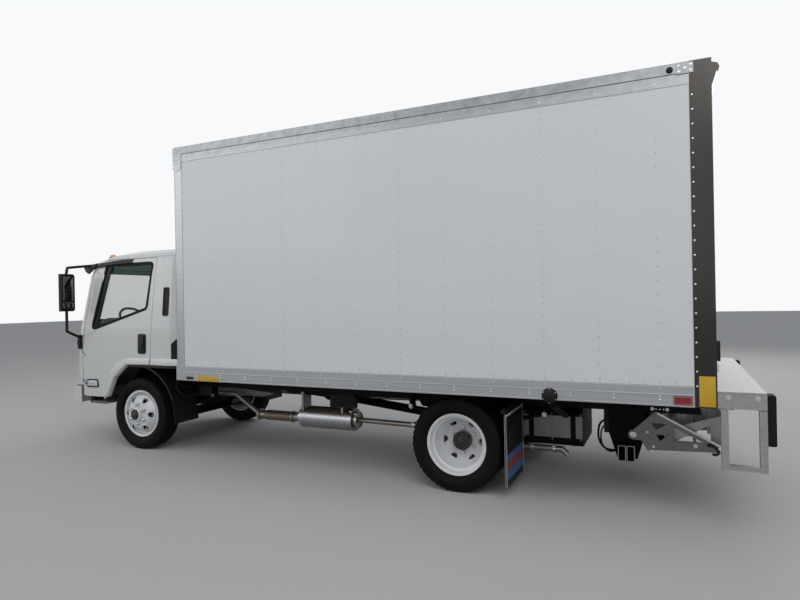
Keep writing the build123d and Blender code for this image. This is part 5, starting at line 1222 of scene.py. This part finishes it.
# Axles and springs: U-bolts, eye bolts, shocks, brake chambers, diff cover, shaft flanges
AXLE_ENDS = (("front", FRONT_AXLE, 0.39, 0.455, 0.33, 0.6, 0.56, 0.16),
             ("rear", REAR_AXLE, 0.48, 0.555, 0.335, 0.64, 0.6, 0.22))
for end, axle_x, spring_y, top, foot_z, half_length, eye_z, lean in AXLE_ENDS:
    ubolts = Form()
    for side in (1, -1):
        for dx in (-0.06, 0.06):
            for dy in (-0.04, 0.04):
                ubolts.bar((axle_x + dx, side * spring_y + dy, foot_z),
                           (axle_x + dx, side * spring_y + dy, top), 0.009, 10)
                ubolts.bolt((axle_x + dx, side * spring_y + dy, foot_z), (0, 0, -1), 0.014, 0.014)
            ubolts.box((axle_x + dx - 0.009, side * spring_y - 0.049, top - 0.004),
                       (axle_x + dx + 0.009, side * spring_y + 0.049, top + 0.012))
        ubolts.box((axle_x - 0.085, side * spring_y - 0.06, foot_z - 0.002),
                   (axle_x + 0.085, side * spring_y + 0.06, foot_z + 0.014))
    ubolts.make(f"u_bolts_{end}", "chassis_black", bevel=0.002)
    clips = Form()
    for side in (1, -1):
        for way in (1, -1):
            clips.bolt((axle_x + way * half_length, side * (spring_y + 0.035), eye_z), (0, side, 0), 0.016,
                       0.014)
            clips.lathe((axle_x + way * half_length, side * (spring_y + 0.033), eye_z), (0, side, 0),
                        [(0, 0.022), (0.004, 0.022), (0.004, 0.018)], 20, 1)
    clips.make(f"spring_eye_bolts_{end}", "zinc_bolt")
    shocks = Form()
    for side in (1, -1):
        low_point = Vector((axle_x - 0.12, side * 0.315, 0.36))
        high_point = Vector((axle_x - lean - 0.1, side * 0.335, 0.655))
        mid = low_point.lerp(high_point, 0.52)
        shocks.bar(low_point, mid, 0.026, 16)
        shocks.bar(mid, high_point, 0.032, 16)
        for point in (low_point, high_point):
            shocks.bar(point - Vector((0, 0.022, 0)), point + Vector((0, 0.022, 0)), 0.021, 16)
    shocks.make(f"shock_absorbers_{end}", "chassis_black")
chambers = Form()
for side in (1, -1):
    centre = Vector((REAR_AXLE + 0.155, side * 0.35, 0.49))
    chambers.lathe(centre, (0, side, 0), [(-0.06, 0.03), (-0.05, 0.062), (0.0, 0.072), (0.006, 0.078),
        (0.014, 0.078), (0.02, 0.072), (0.06, 0.06), (0.07, 0.025)], 28, 2)
chambers.make("brake_chambers", "chassis_black")
diff = Form()
diff.lathe((REAR_AXLE - 0.095, 0, AXLE_Z), (-1, 0, 0),
           [(0.0, 0.15), (0.012, 0.15), (0.02, 0.142), (0.055, 0.12), (0.078, 0.07), (0.084, 0.02)], 36, 2)
for k in range(10):
    t = math.radians(36 * k)
    diff.bolt((REAR_AXLE - 0.107, 0.141 * math.cos(t), AXLE_Z + 0.141 * math.sin(t)), (-1, 0, 0), 0.008,
              0.006)
diff.make("diff_cover", "chassis_black")
yokes = Form()
for x, z in ((1.395, 0.648), (0.52, 0.58), (-0.975, 0.412)):
    yokes.lathe((x, 0, z), (1, 0, 0), [(0, 0.05), (0.012, 0.062), (0.024, 0.062), (0.03, 0.05)], 28, 2)
    for k in range(4):
        t = math.radians(90 * k + 45)
        yokes.bolt((x + 0.03, 0.05 * math.cos(t), z + 0.05 * math.sin(t)), (1, 0, 0), 0.007, 0.006)
yokes.make("shaft_flanges", "zinc_bolt")

# Engine and gearbox dressing
piece = Form().prism(over_y(-0.2, [(2.1, 0.52), (2.8, 0.52), (2.8, 0.45), (2.62, 0.4), (2.2, 0.4),
    (2.1, 0.46)]), (0, 0.4, 0))
piece.make("engine_sump", "chassis_black", bevel=0.012)
engine_ribs = Form()
for side in (1, -1):
    for k in range(8):
        x = 2.09 + 0.1 * k
        engine_ribs.box((x, side * 0.26, 0.56), (x + 0.012, side * 0.272, 0.96))
    engine_ribs.box((2.06, side * 0.26, 0.745), (2.86, side * 0.268, 0.757))
    engine_ribs.box((2.06, side * 0.26, 0.955), (2.86, side * 0.276, 0.985))
engine_ribs.box((2.12, -0.2, 1.085), (2.8, 0.2, 1.112))
for k in range(4):
    engine_ribs.lathe((2.21 + 0.17 * k, 0, 1.112), (0, 0, 1),
                      [(0, 0.03), (0.012, 0.03), (0.016, 0.022), (0.03, 0.014)], 20, 1)
engine_ribs.make("engine_ribs", "engine_iron", bevel=0.002)
radiator = Form()
radiator.box((3.06, -0.34, 0.62), (3.13, 0.34, 0.92))
for k in range(33):
    z = 0.63 + 0.0088 * k
    radiator.box((3.13, -0.325, z), (3.133, 0.325, z + 0.003))
radiator.lathe((3.03, 0, 0.78), (1, 0, 0), [(0, 0.15), (0.002, 0.158), (0.028, 0.158), (0.028, 0.15)], 40)
for k in range(7):
    t = 2 * math.pi * k / 7
    u = Vector((0, math.cos(t), math.sin(t)))
    v = Vector((0, -math.sin(t), math.cos(t)))
    hub_point = Vector((3.035, 0, 0.78))
    radiator.prism([hub_point + u * 0.035 - v * 0.012, hub_point + u * 0.145 - v * 0.03,
                    hub_point + u * 0.145 + v * 0.03 + Vector((0.014, 0, 0)),
                    hub_point + u * 0.035 + v * 0.012 + Vector((0.01, 0, 0))], (0.003, 0, 0))
radiator.lathe((3.025, 0, 0.78), (1, 0, 0), [(0, 0.04), (0.02, 0.04), (0.024, 0.03)], 24, 2)
radiator.make("radiator_and_fan", "plastic_black")
gear_ribs = Form()
for k in range(7):
    x = 1.47 + 0.055 * k
    gear_ribs.box((x, -0.131, 0.54), (x + 0.008, -0.125, 0.78))
    gear_ribs.box((x, 0.125, 0.54), (x + 0.008, 0.131, 0.78))
for k in range(16):
    t = 2 * math.pi * k / 16
    gear_ribs.bolt((2.035, 0.203 * math.cos(t), 0.7 + 0.203 * math.sin(t)), (-1, 0, 0), 0.008, 0.01)
gear_ribs.make("gearbox_ribs", "gear_alloy")
battery = Form()
battery.box((0.915, -0.752, 0.8), (1.435, -0.428, 0.812))
for x in (1.0, 1.175, 1.35):
    battery.box((x - 0.02, -0.76, 0.48), (x + 0.02, -0.755, 0.812))
    battery.bolt((x, -0.76, 0.64), (0, -1, 0), 0.01, 0.008)
battery.make("battery_box_lid", "plastic_black", bevel=0.003)

# Dock step: tread plate, side bolts, welds, bumper ribs
tread = Form()
for row in range(8):
    for k in range(72):
        x = -3.28 - 0.033 * row
        y = -1.19 + 0.0333 * k + (0.0166 if row % 2 else 0)
        lean = 0.008 if (row + k) % 2 else -0.008
        tread.add([(x - 0.009, y - lean, 0.97), (x, y - 0.0035, 0.97), (x + 0.009, y + lean, 0.97),
                   (x, y + 0.0035, 0.97), (x, y, 0.9708)], [(0, 1, 4), (1, 2, 4), (2, 3, 4), (3, 0, 4)])
tread.make("step_tread", "galvanised", angle=20)
step_fixings = Form()
for side in (1, -1):
    face = side * SKIN_HALF
    for x in (-3.322, -3.493):
        step_fixings.bolt((x, face, 0.93), (0, side, 0), 0.012, 0.012, 1.5)
    for x in (-3.524, -3.3):
        step_fixings.lathe((x, face - side * 0.0225, 0.858), (0, 0, -1), [(0, 0.038), (0.006, 0.032)], 16)
step_fixings.make("step_bolts", "zinc_bolt")
lips = Form()
for side in (1, -1):
    face = side * SKIN_HALF
    lips.box((-3.547, face, 0.962), (-3.262, face + side * 0.0025, 0.971))
    lips.box((-3.547, face, 0.857), (-3.262, face + side * 0.0025, 0.862))
    for x in (-3.547, -3.322):
        lips.box((x - 0.001, face - side * 0.046, 0.44), (x + 0.046, face + side * 0.001, 0.448))
lips.make("step_edges", "galvanised", bevel=0.001)
ribs = Form()
for side in (1, -1):
    for k in range(7):
        ribs.box((-3.5989, side * (1.112 + 0.0135 * k), 0.64), (-3.596, side * (1.118 + 0.0135 * k), 0.94))
    for z in (0.66, 0.788, 0.916):
        ribs.lathe((-3.5985, side * 1.155, z), (-1, 0, 0), [(0, 0.014), (0.0003, 0.012)], 16, 1)
ribs.make("dock_bumper_ribs", "rubber_black")

# Lift: bolts, arm flanges, hooks, tube ends, pump box, hoses, platform ribs and beams, ram glands
hardware = Form()
for side in (1, -1):
    arm = side * ARM_FACE
    hardware.lathe((-2.676, side * 0.474, 0.471), (0, side, 0), [(0, 0.026), (0.004, 0.026), (0.006, 0.022)],
                   24, 1)
    hardware.bolt((-2.676, side * 0.479, 0.471), (0, side, 0), 0.014, 0.01)
    hardware.lathe((-3.317, arm, 0.394), (0, side, 0), [(0, 0.027), (0.006, 0.027), (0.01, 0.018)], 24, 1)
    hardware.bolt((-3.141, arm, 0.415), (0, side, 0), 0.012, 0.01)
    for x, z in ((-2.785, 0.5), (-2.83, 0.385)):
        hardware.bolt((x, arm, z), (0, side, 0), 0.008, 0.007)
hardware.make("lift_hinge_bolts", "zinc_bolt", "lift")
# Flanges along the arms, in bright zinc against the darkened arm colour: painted highlight on real flanges
edges = Form()
for side in (1, -1):
    arm = side * ARM_FACE
    for (x0, z0), (x1, z1) in (((-2.862, 0.664), (-3.32, 0.424)), ((-2.795, 0.348), (-3.305, 0.372))):
        run = Vector((x1 - x0, 0, z1 - z0)).normalized()
        across = Vector((-run.z, 0, run.x)) * 0.008
        a, c = Vector((x0, arm, z0)), Vector((x1, arm, z1))
        edges.prism([a - across, c - across, c + across, a + across], (0, side * 0.012, 0))
edges.make("lift_arm_flanges", "zinc_painted_highlight", "lift", bevel=0.001)
hook = Form()
for side in (1, -1):
    curve = [(-3.235, 0.432), (-3.262, 0.428), (-3.285, 0.412), (-3.3, 0.392), (-3.298, 0.372),
             (-3.28, 0.362), (-3.258, 0.366)]
    hook.pipe([(x, side * 0.48, z) for x, z in curve], 0.01, 10)
    hook.bar((-3.236, side * ARM_FACE, 0.432), (-3.236, side * 0.486, 0.432), 0.013, 12)
hook.make("lift_hooks", "plastic_black", "lift")
caps = Form()
for side in (1, -1):
    end = side * 0.56
    for x0, x1 in ((-2.691, -2.6285), (-2.6235, -2.561)):
        for a, c in (((x0, 0.267), (x0 + 0.006, 0.397)), ((x1 - 0.006, 0.267), (x1, 0.397)),
                     ((x0, 0.267), (x1, 0.273)), ((x0, 0.391), (x1, 0.397))):
            caps.box((a[0], end, a[1]), (c[0], end + side * 0.004, c[1]))
caps.make("torque_tube_ends", "galvanised", bevel=0.001)
mount_bolts = Form()
for side in (1, -1):
    face = side * 0.437
    for x, z in ((-2.74, 0.7), (-2.66, 0.7), (-2.58, 0.7), (-2.51, 0.7), (-2.7, 0.6), (-2.6, 0.56)):
        mount_bolts.bolt((x, face, z), (0, side, 0), 0.009, 0.007)
mount_bolts.make("lift_mount_bolts", "chassis_black")
pack_box = Form()
pack_box.box((-2.6, 0.11, 0.46), (-2.44, 0.4, 0.655))
pack_box.box((-2.604, 0.106, 0.63), (-2.436, 0.404, 0.64))
for k in range(5):
    pack_box.box((-2.58 + 0.032 * k, 0.4, 0.49), (-2.566 + 0.032 * k, 0.404, 0.61))
pack_box.make("lift_pump_box", "plastic_black", bevel=0.004)
hose = Form()
hose.pipe([(-2.45, 0.3, 0.56), (-2.4, 0.36, 0.52), (-2.395, 0.42, 0.42), (-2.44, 0.45, 0.345),
           (-2.52, 0.43, 0.322), (-2.56, 0.38, 0.33)], 0.009, 8)
hose.pipe([(-2.45, 0.24, 0.52), (-2.41, 0.33, 0.46), (-2.42, 0.41, 0.37), (-2.48, 0.43, 0.31),
           (-2.555, 0.33, 0.305)], 0.007, 8)
hose.make("lift_hoses", "plastic_black")
low_point, high_point = Vector((-2.893, 0, 0.515)), Vector((-3.335, 0, 0.664))
run = (high_point - low_point).normalized()
down = Vector((-run.z, 0, run.x))
length = (high_point - low_point).length
plank = Form()
for k in range(13):
    a = low_point + run * (0.02 + (length - 0.04) * k / 12)
    plank.add([tuple(a + run * dx + Vector((0, y, 0)) - down * dz) for y in (-0.405, 0.405)
               for dx, dz in ((-0.005, 0.0), (-0.003, 0.002), (0.003, 0.002), (0.005, 0.0))],
              [(0, 1, 5, 4), (1, 2, 6, 5), (2, 3, 7, 6), (0, 3, 2, 1), (4, 5, 6, 7)])
plank.make("platform_grip_ribs", "galvanised", "lift")
beams = Form()
for y in (-0.36, -0.18, 0.18, 0.36):
    a, c = low_point + down * 0.04 + run * 0.03, high_point + down * 0.04 - run * 0.03
    beams.prism([a + Vector((0, y - 0.012, 0)), c + Vector((0, y - 0.012, 0)),
                 c + Vector((0, y - 0.012, 0)) + down * 0.022, a + Vector((0, y - 0.012, 0)) + down * 0.022],
                (0, 0.024, 0))
beams.make("platform_beams", "galvanised", "lift", bevel=0.001)
ram_caps = Form()
ram_start, ram_end = Vector((-2.725, 0, 0.332)), Vector((-3.141, 0, 0.415))
ram_way = (ram_end - ram_start).normalized()
ram_caps.lathe(ram_start + ram_way * 0.262, ram_way,
               [(0, 0.0325), (0.001, 0.036), (0.018, 0.036), (0.02, 0.033)], 28)
ram_caps.lathe(ram_start + ram_way * 0.055, ram_way,
               [(0, 0.0325), (0.001, 0.0345), (0.012, 0.0345), (0.013, 0.0325)], 28)
ram_caps.box(tuple(ram_start + ram_way * 0.075 + Vector((-0.01, -0.012, 0.028))),
             tuple(ram_start + ram_way * 0.075 + Vector((0.01, 0.012, 0.044))))
ram_caps.make("ram_glands", "zinc_bolt", "ram_barrel")

# Mud flaps: steel edges, bolts and plain colour bands
FLAP_X = REAR_AXLE - 0.445
for hand, side in SIDES:
    strips = Form()
    for y in (0.54, 1.105):
        strips.box((FLAP_X - 0.011, side * (y - 0.014), 0.11), (FLAP_X - 0.008, side * (y + 0.014), 0.698))
        strips.box((FLAP_X, side * (y - 0.014), 0.11), (FLAP_X + 0.003, side * (y + 0.014), 0.698))
    strips.box((FLAP_X - 0.0115, side * 0.53, 0.672), (FLAP_X - 0.008, side * 1.118, 0.698))
    strips.make(f"flap_strips_{hand}", "zinc_bolt")
    screws = Form()
    for k in range(8):
        screws.bolt((FLAP_X - 0.0115, side * (0.56 + 0.075 * k), 0.685), (-1, 0, 0), 0.007, 0.005)
        screws.bolt((FLAP_X + 0.003, side * (0.56 + 0.075 * k), 0.685), (1, 0, 0), 0.007, 0.005)
    screws.make(f"flap_bolts_{hand}", "zinc_bolt")
    for name, low_z, high_z, mat in (("upper", 0.305, 0.362, "flap_blue"),
            ("middle", 0.24, 0.305, "flap_red"), ("lower", 0.16, 0.24, "flap_blue")):
        stripe = Form()
        stripe.prism(over_x(FLAP_X - 0.008, rect(side * 0.562, low_z, side * 1.083, high_z)), (-0.0012, 0, 0))
        stripe.prism(over_x(FLAP_X, rect(side * 0.562, low_z, side * 1.083, high_z)), (0.0012, 0, 0))
        stripe.make(f"flap_band_{name}_{hand}", mat, bevel=0.0004)

# Rear of the body: blank labels, tail lamps, door hardware, header lamps
piece = Form().pad(rect(-3.249, 0.862, -3.149, 1.07), 0.003, on_body(1), 0.0, 0.0012, 0.0004)
piece.make("post_label_blank", "sign_yellow")
piece = Form().pad(rect(1.412, 0.862, 1.505, 0.893), 0.003, on_body(1), 0.0, 0.0012, 0.0004)
piece.make("rail_label_blank", "plastic_black")
for hand, side in SIDES:
    piece = Form().band(rect(side * 1.137, 1.178, side * 1.207, 1.308), 0.012, -0.006, 0.004,
                        at_x(BODY_REAR - 0.018, -1), -0.016, 0.004)
    piece.make(f"tail_lamp_ring_{hand}", "plastic_black")
    ribs = Form()
    for k in range(11):
        ribs.box((BODY_REAR - 0.018, side * 1.147, 1.19 + 0.0105 * k),
                 (BODY_REAR - 0.02, side * 1.197, 1.194 + 0.0105 * k))
    ribs.make(f"tail_lamp_ribs_{hand}", "red_lens")
    piece = Form().pad(rect(side * 1.137, 1.1, side * 1.207, 1.16), 0.01, at_x(BODY_REAR, -1), 0.0, 0.012)
    piece.make(f"reverse_lamp_{hand}", "clear_lens")
    post = Form()
    for k in range(21):
        post.rivet((BODY_REAR, side * 1.15, 1.35 + 0.085 * k), (-1, 0, 0), 0.006, 0.003)
    post.make(f"rear_post_rivets_{hand}", "zinc_bolt")
    track = Form()
    track.box((BODY_REAR + 0.06, side * 1.129, 0.985), (BODY_REAR + 0.112, side * 1.12, 3.05))
    for k in range(9):
        z = 1.0 + 0.233 * k
        track.bar((BODY_REAR + 0.058, side * 1.06, z), (BODY_REAR + 0.058, side * 1.128, z), 0.008, 10)
        track.box((BODY_REAR + 0.055, side * 1.02, z - 0.03), (BODY_REAR + 0.06, side * 1.075, z + 0.03))
    track.make(f"door_rollers_{hand}", "zinc_bolt")
door = Form()
slat = (3.079 - 0.98) / 9
for k in range(9):
    for z in (0.98 + slat * k + 0.03, 0.98 + slat * (k + 1) - 0.03):
        for y in [-1.05 + 0.35 * j for j in range(7)]:
            door.rivet((BODY_REAR + 0.025, y, z), (-1, 0, 0), 0.006, 0.003)
door.make("door_rivets", "zinc_bolt")
latch = Form()
latch.box((BODY_REAR + 0.016, -0.09, 1.02), (BODY_REAR + 0.025, 0.09, 1.17))
latch.pipe([(BODY_REAR + 0.014, -0.06, 1.13), (BODY_REAR - 0.012, -0.055, 1.11),
            (BODY_REAR - 0.012, 0.055, 1.11), (BODY_REAR + 0.014, 0.06, 1.13)], 0.007, 8)
latch.lathe((BODY_REAR + 0.016, 0, 1.055), (-1, 0, 0), [(0, 0.022), (0.012, 0.022), (0.015, 0.017)], 24, 1)
latch.box((BODY_REAR + 0.008, -0.012, 0.985), (BODY_REAR + 0.025, 0.012, 1.1))
latch.make("door_latch", "zinc_bolt", bevel=0.002)
piece = Form().box((BODY_REAR + 0.019, -0.32, 0.985), (BODY_REAR + 0.022, -0.29, 1.24))
piece.make("door_pull_strap", "rubber_black", bevel=0.001)
piece = Form().box((BODY_REAR + 0.02, -1.125, 0.9802), (BODY_REAR + 0.056, 1.125, 0.99))
piece.make("door_bottom_seal", "rubber_black", bevel=0.003)
lamps = Form()
for y in (-0.23, 0.0, 0.23, -1.1, 1.1):
    lamps.lathe((BODY_REAR - 0.0425, y, 3.194), (-1, 0, 0), [(0, 0.01), (0.006, 0.01)], 16, 2)
    lamps.pad(rect(y - 0.045, 3.186, y + 0.045, 3.203), 0.006, at_x(BODY_REAR - 0.042, -1), 0.0, 0.01)
lamps.make("header_lamps", "red_lens")
clear = Form()
for y in (-1.14, -0.16, 0.0, 0.16, 1.14):
    clear.pad(rect(y - 0.045, 3.196, y + 0.045, 3.216), 0.006, at_x(BODY_FRONT), 0.0, 0.01)
clear.make("front_header_lamps", "amber_lens")

# Front wall of the body
front = Form()
for k in range(20):
    for y in (-1.05, -0.7, -0.35, 0.0, 0.35, 0.7, 1.05):
        front.rivet((1.649, y, 1.05 + 0.105 * k), (1, 0, 0), 0.006, 0.003)
front.make("front_wall_rivets", "rivet_metal")

# Cab seats: pads filled by a cloth simulation, then stitched channels
def pad_shape(name, section, low_y, high_y, puff, channels):
    """A crowned pad from a side section; channels are (axis, place, depth, width) stitched lines."""
    form = Form()
    count = 14
    middle_x = sum(p[0] for p in section) / len(section)
    middle_z = sum(p[1] for p in section) / len(section)
    outline = rounded(section, 0.045, 5)
    rows = []
    for k in range(count + 1):
        t = -1 + 2 * k / count
        shrink = 1.0 - 0.1 * abs(t) ** 6
        y = (low_y + high_y) / 2 + t * (high_y - low_y) / 2
        rows.append([(middle_x + (x - middle_x) * shrink, y, middle_z + (z - middle_z) * shrink)
                     for x, z in outline])
    form.loops(rows, ends=2)
    obj = form.make(name, "seat_cloth", "cab", angle=60)
    bpy.context.view_layer.objects.active = obj
    for other in bpy.context.selected_objects:
        other.select_set(False)
    obj.select_set(True)
    even = obj.modifiers.new("even_mesh", "REMESH")
    even.mode = "VOXEL"
    even.voxel_size = 0.012
    bpy.ops.object.modifier_apply(modifier="even_mesh")
    mesh = obj.data
    start = [v.co.copy() for v in mesh.vertices]
    fill = obj.modifiers.new("fill", "CLOTH")
    fill.settings.use_pressure = True
    fill.settings.uniform_pressure_force = 4.0
    fill.settings.effector_weights.gravity = 0.0
    fill.settings.quality = 4
    fill.collision_settings.use_collision = False
    fill.point_cache.frame_start = 1
    fill.point_cache.frame_end = 20
    for step in range(1, 21):
        bpy.context.scene.frame_set(step)
    result = obj.evaluated_get(bpy.context.evaluated_depsgraph_get()).to_mesh()
    moved = [v.co.copy() for v in result.vertices]
    obj.modifiers.remove(fill)
    bpy.context.scene.frame_set(1)
    for vertex, a, b in zip(mesh.vertices, start, moved):
        way = b - a
        if way.length > puff:
            way = way * (puff / way.length)
        vertex.co = a + way
    normals = [v.normal.copy() for v in mesh.vertices]
    for vertex, normal in zip(mesh.vertices, normals):
        sink = 0.0
        for axis, where, depth, width in channels:
            sink = max(sink, depth * math.exp(-((vertex.co[axis] - where) / width) ** 2))
        vertex.co -= normal * sink
    mesh.shade_smooth()
    smooth = obj.modifiers.new("smooth", "SUBSURF")
    smooth.levels = 1
    smooth.render_levels = 1
    return obj


SEATS = (("bench", -0.78, -0.06), ("driver", 0.23, 0.73))
seat_pieces = []
for seat_name, low_y, high_y in SEATS:
    edge = 0.085
    lanes = [(1, low_y + edge, 0.01, 0.008), (1, high_y - edge, 0.01, 0.008)]
    if seat_name == "bench":
        lanes.append((1, (low_y + high_y) / 2, 0.012, 0.009))
    cushion = [(2.139, 1.19), (2.639, 1.19), (2.641, 1.28), (2.6, 1.308), (2.145, 1.305)]
    seat_pieces.append(pad_shape(f"seat_cushion_{seat_name}", cushion, low_y + 0.01, high_y - 0.01, 0.009,
        lanes + [(0, 2.545, 0.008, 0.008), (0, 2.33, 0.006, 0.008)]))
    back = [(2.143, 1.335), (2.246, 1.335), (2.144, 1.905), (2.06, 1.905)]
    seat_pieces.append(pad_shape(f"seat_back_{seat_name}", back, low_y + 0.02, high_y - 0.02, 0.008,
        lanes + [(2, 1.7, 0.01, 0.009), (2, 1.5, 0.006, 0.008)]))
for piece in seat_pieces:
    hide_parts("cab_seats")
buckles = Form()
for y in (-0.4, 0.19, 0.77):
    buckles.tube([(2.2, y, 1.185), (2.23, y, 1.29), (2.245, y, 1.35)], 0.007, 8)
    buckles.box((2.234, y - 0.014, 1.345), (2.256, y + 0.014, 1.4))
buckles.make("seat_buckles", "plastic_black", "cab", bevel=0.002)

# Inside of the cargo space: wall liners, tie rails, roof bows and deck boards
inside = Form()
for side in (1, -1):
    for z in (1.3, 1.75, 2.2, 2.65):
        inside.prism(over_x(-3.08, [(side * 1.1765, z), (side * 1.166, z + 0.01), (side * 1.166, z + 0.062),
            (side * 1.1765, z + 0.072)]), (4.66, 0, 0))
inside.make("cargo_tie_rails", "galvanised", bevel=0.001)
# Thin black patches where the tie rails have slots: painted shade in the slot openings
slots = Form()
for side in (1, -1):
    for z in (1.336, 1.786, 2.236, 2.686):
        for k in range(46):
            x = -3.02 + 0.1 * k
            slots.box((x, side * 1.1658, z - 0.012), (x + 0.03, side * 1.1662, z + 0.012))
slots.make("tie_rail_slot_painted_shade", "plastic_black")
bows = Form()
for k in range(12):
    x = -2.95 + 0.4 * k
    bows.prism(over_y(-1.15, [(x, 3.201), (x + 0.04, 3.201), (x + 0.03, 3.176), (x + 0.01, 3.176)]),
               (0, 2.3, 0))
bows.make("roof_bows", "rail_alloy", bevel=0.001)
boards = Form()
for k in range(14):
    y = -1.165 + 0.1665 * k
    boards.box((-3.11, y, 0.98), (1.6, y + 0.1645, 0.9815))
boards.make("deck_boards", "wood_deck", bevel=0.0006, segments=1)
liner = Form()
for side in (1, -1):
    for k in range(4):
        x = -3.1 + 1.165 * k
        liner.box((x, side * 1.1768, 0.985), (x + 1.16, side * 1.1755, 3.1))
liner.make("wall_liners", "panel_white")
lamp = Form()
for x in (-2.35, 0.45):
    lamp.lathe((x, 0, 3.2), (0, 0, -1), [(0, 0.075), (0.012, 0.075), (0.022, 0.06), (0.028, 0.03),
        (0.03, 0.006)], 32, 2)
lamp.make("cargo_lamps", "clear_lens")

# Roof of the body: sheet seams and rivets
seams = Form()
for k in range(4):
    x = -1.95 + 1.16 * k
    seams.box((x - 0.015, -1.17, 3.231), (x + 0.015, 1.17, 3.2325))
seams.make("roof_seams", "roof_alloy")
studs = Form()
for k in range(46):
    x = -3.05 + 0.1 * k
    for side in (1, -1):
        studs.rivet((x, side * 1.15, 3.231), (0, 0, 1), 0.006, 0.0028, 6)
for k in range(4):
    for j in range(23):
        for dx in (-0.008, 0.008):
            studs.rivet((-1.95 + 1.16 * k + dx, -1.1 + 0.1 * j, 3.2325), (0, 0, 1), 0.005, 0.0022, 6)
studs.make("roof_rivets", "rivet_metal")
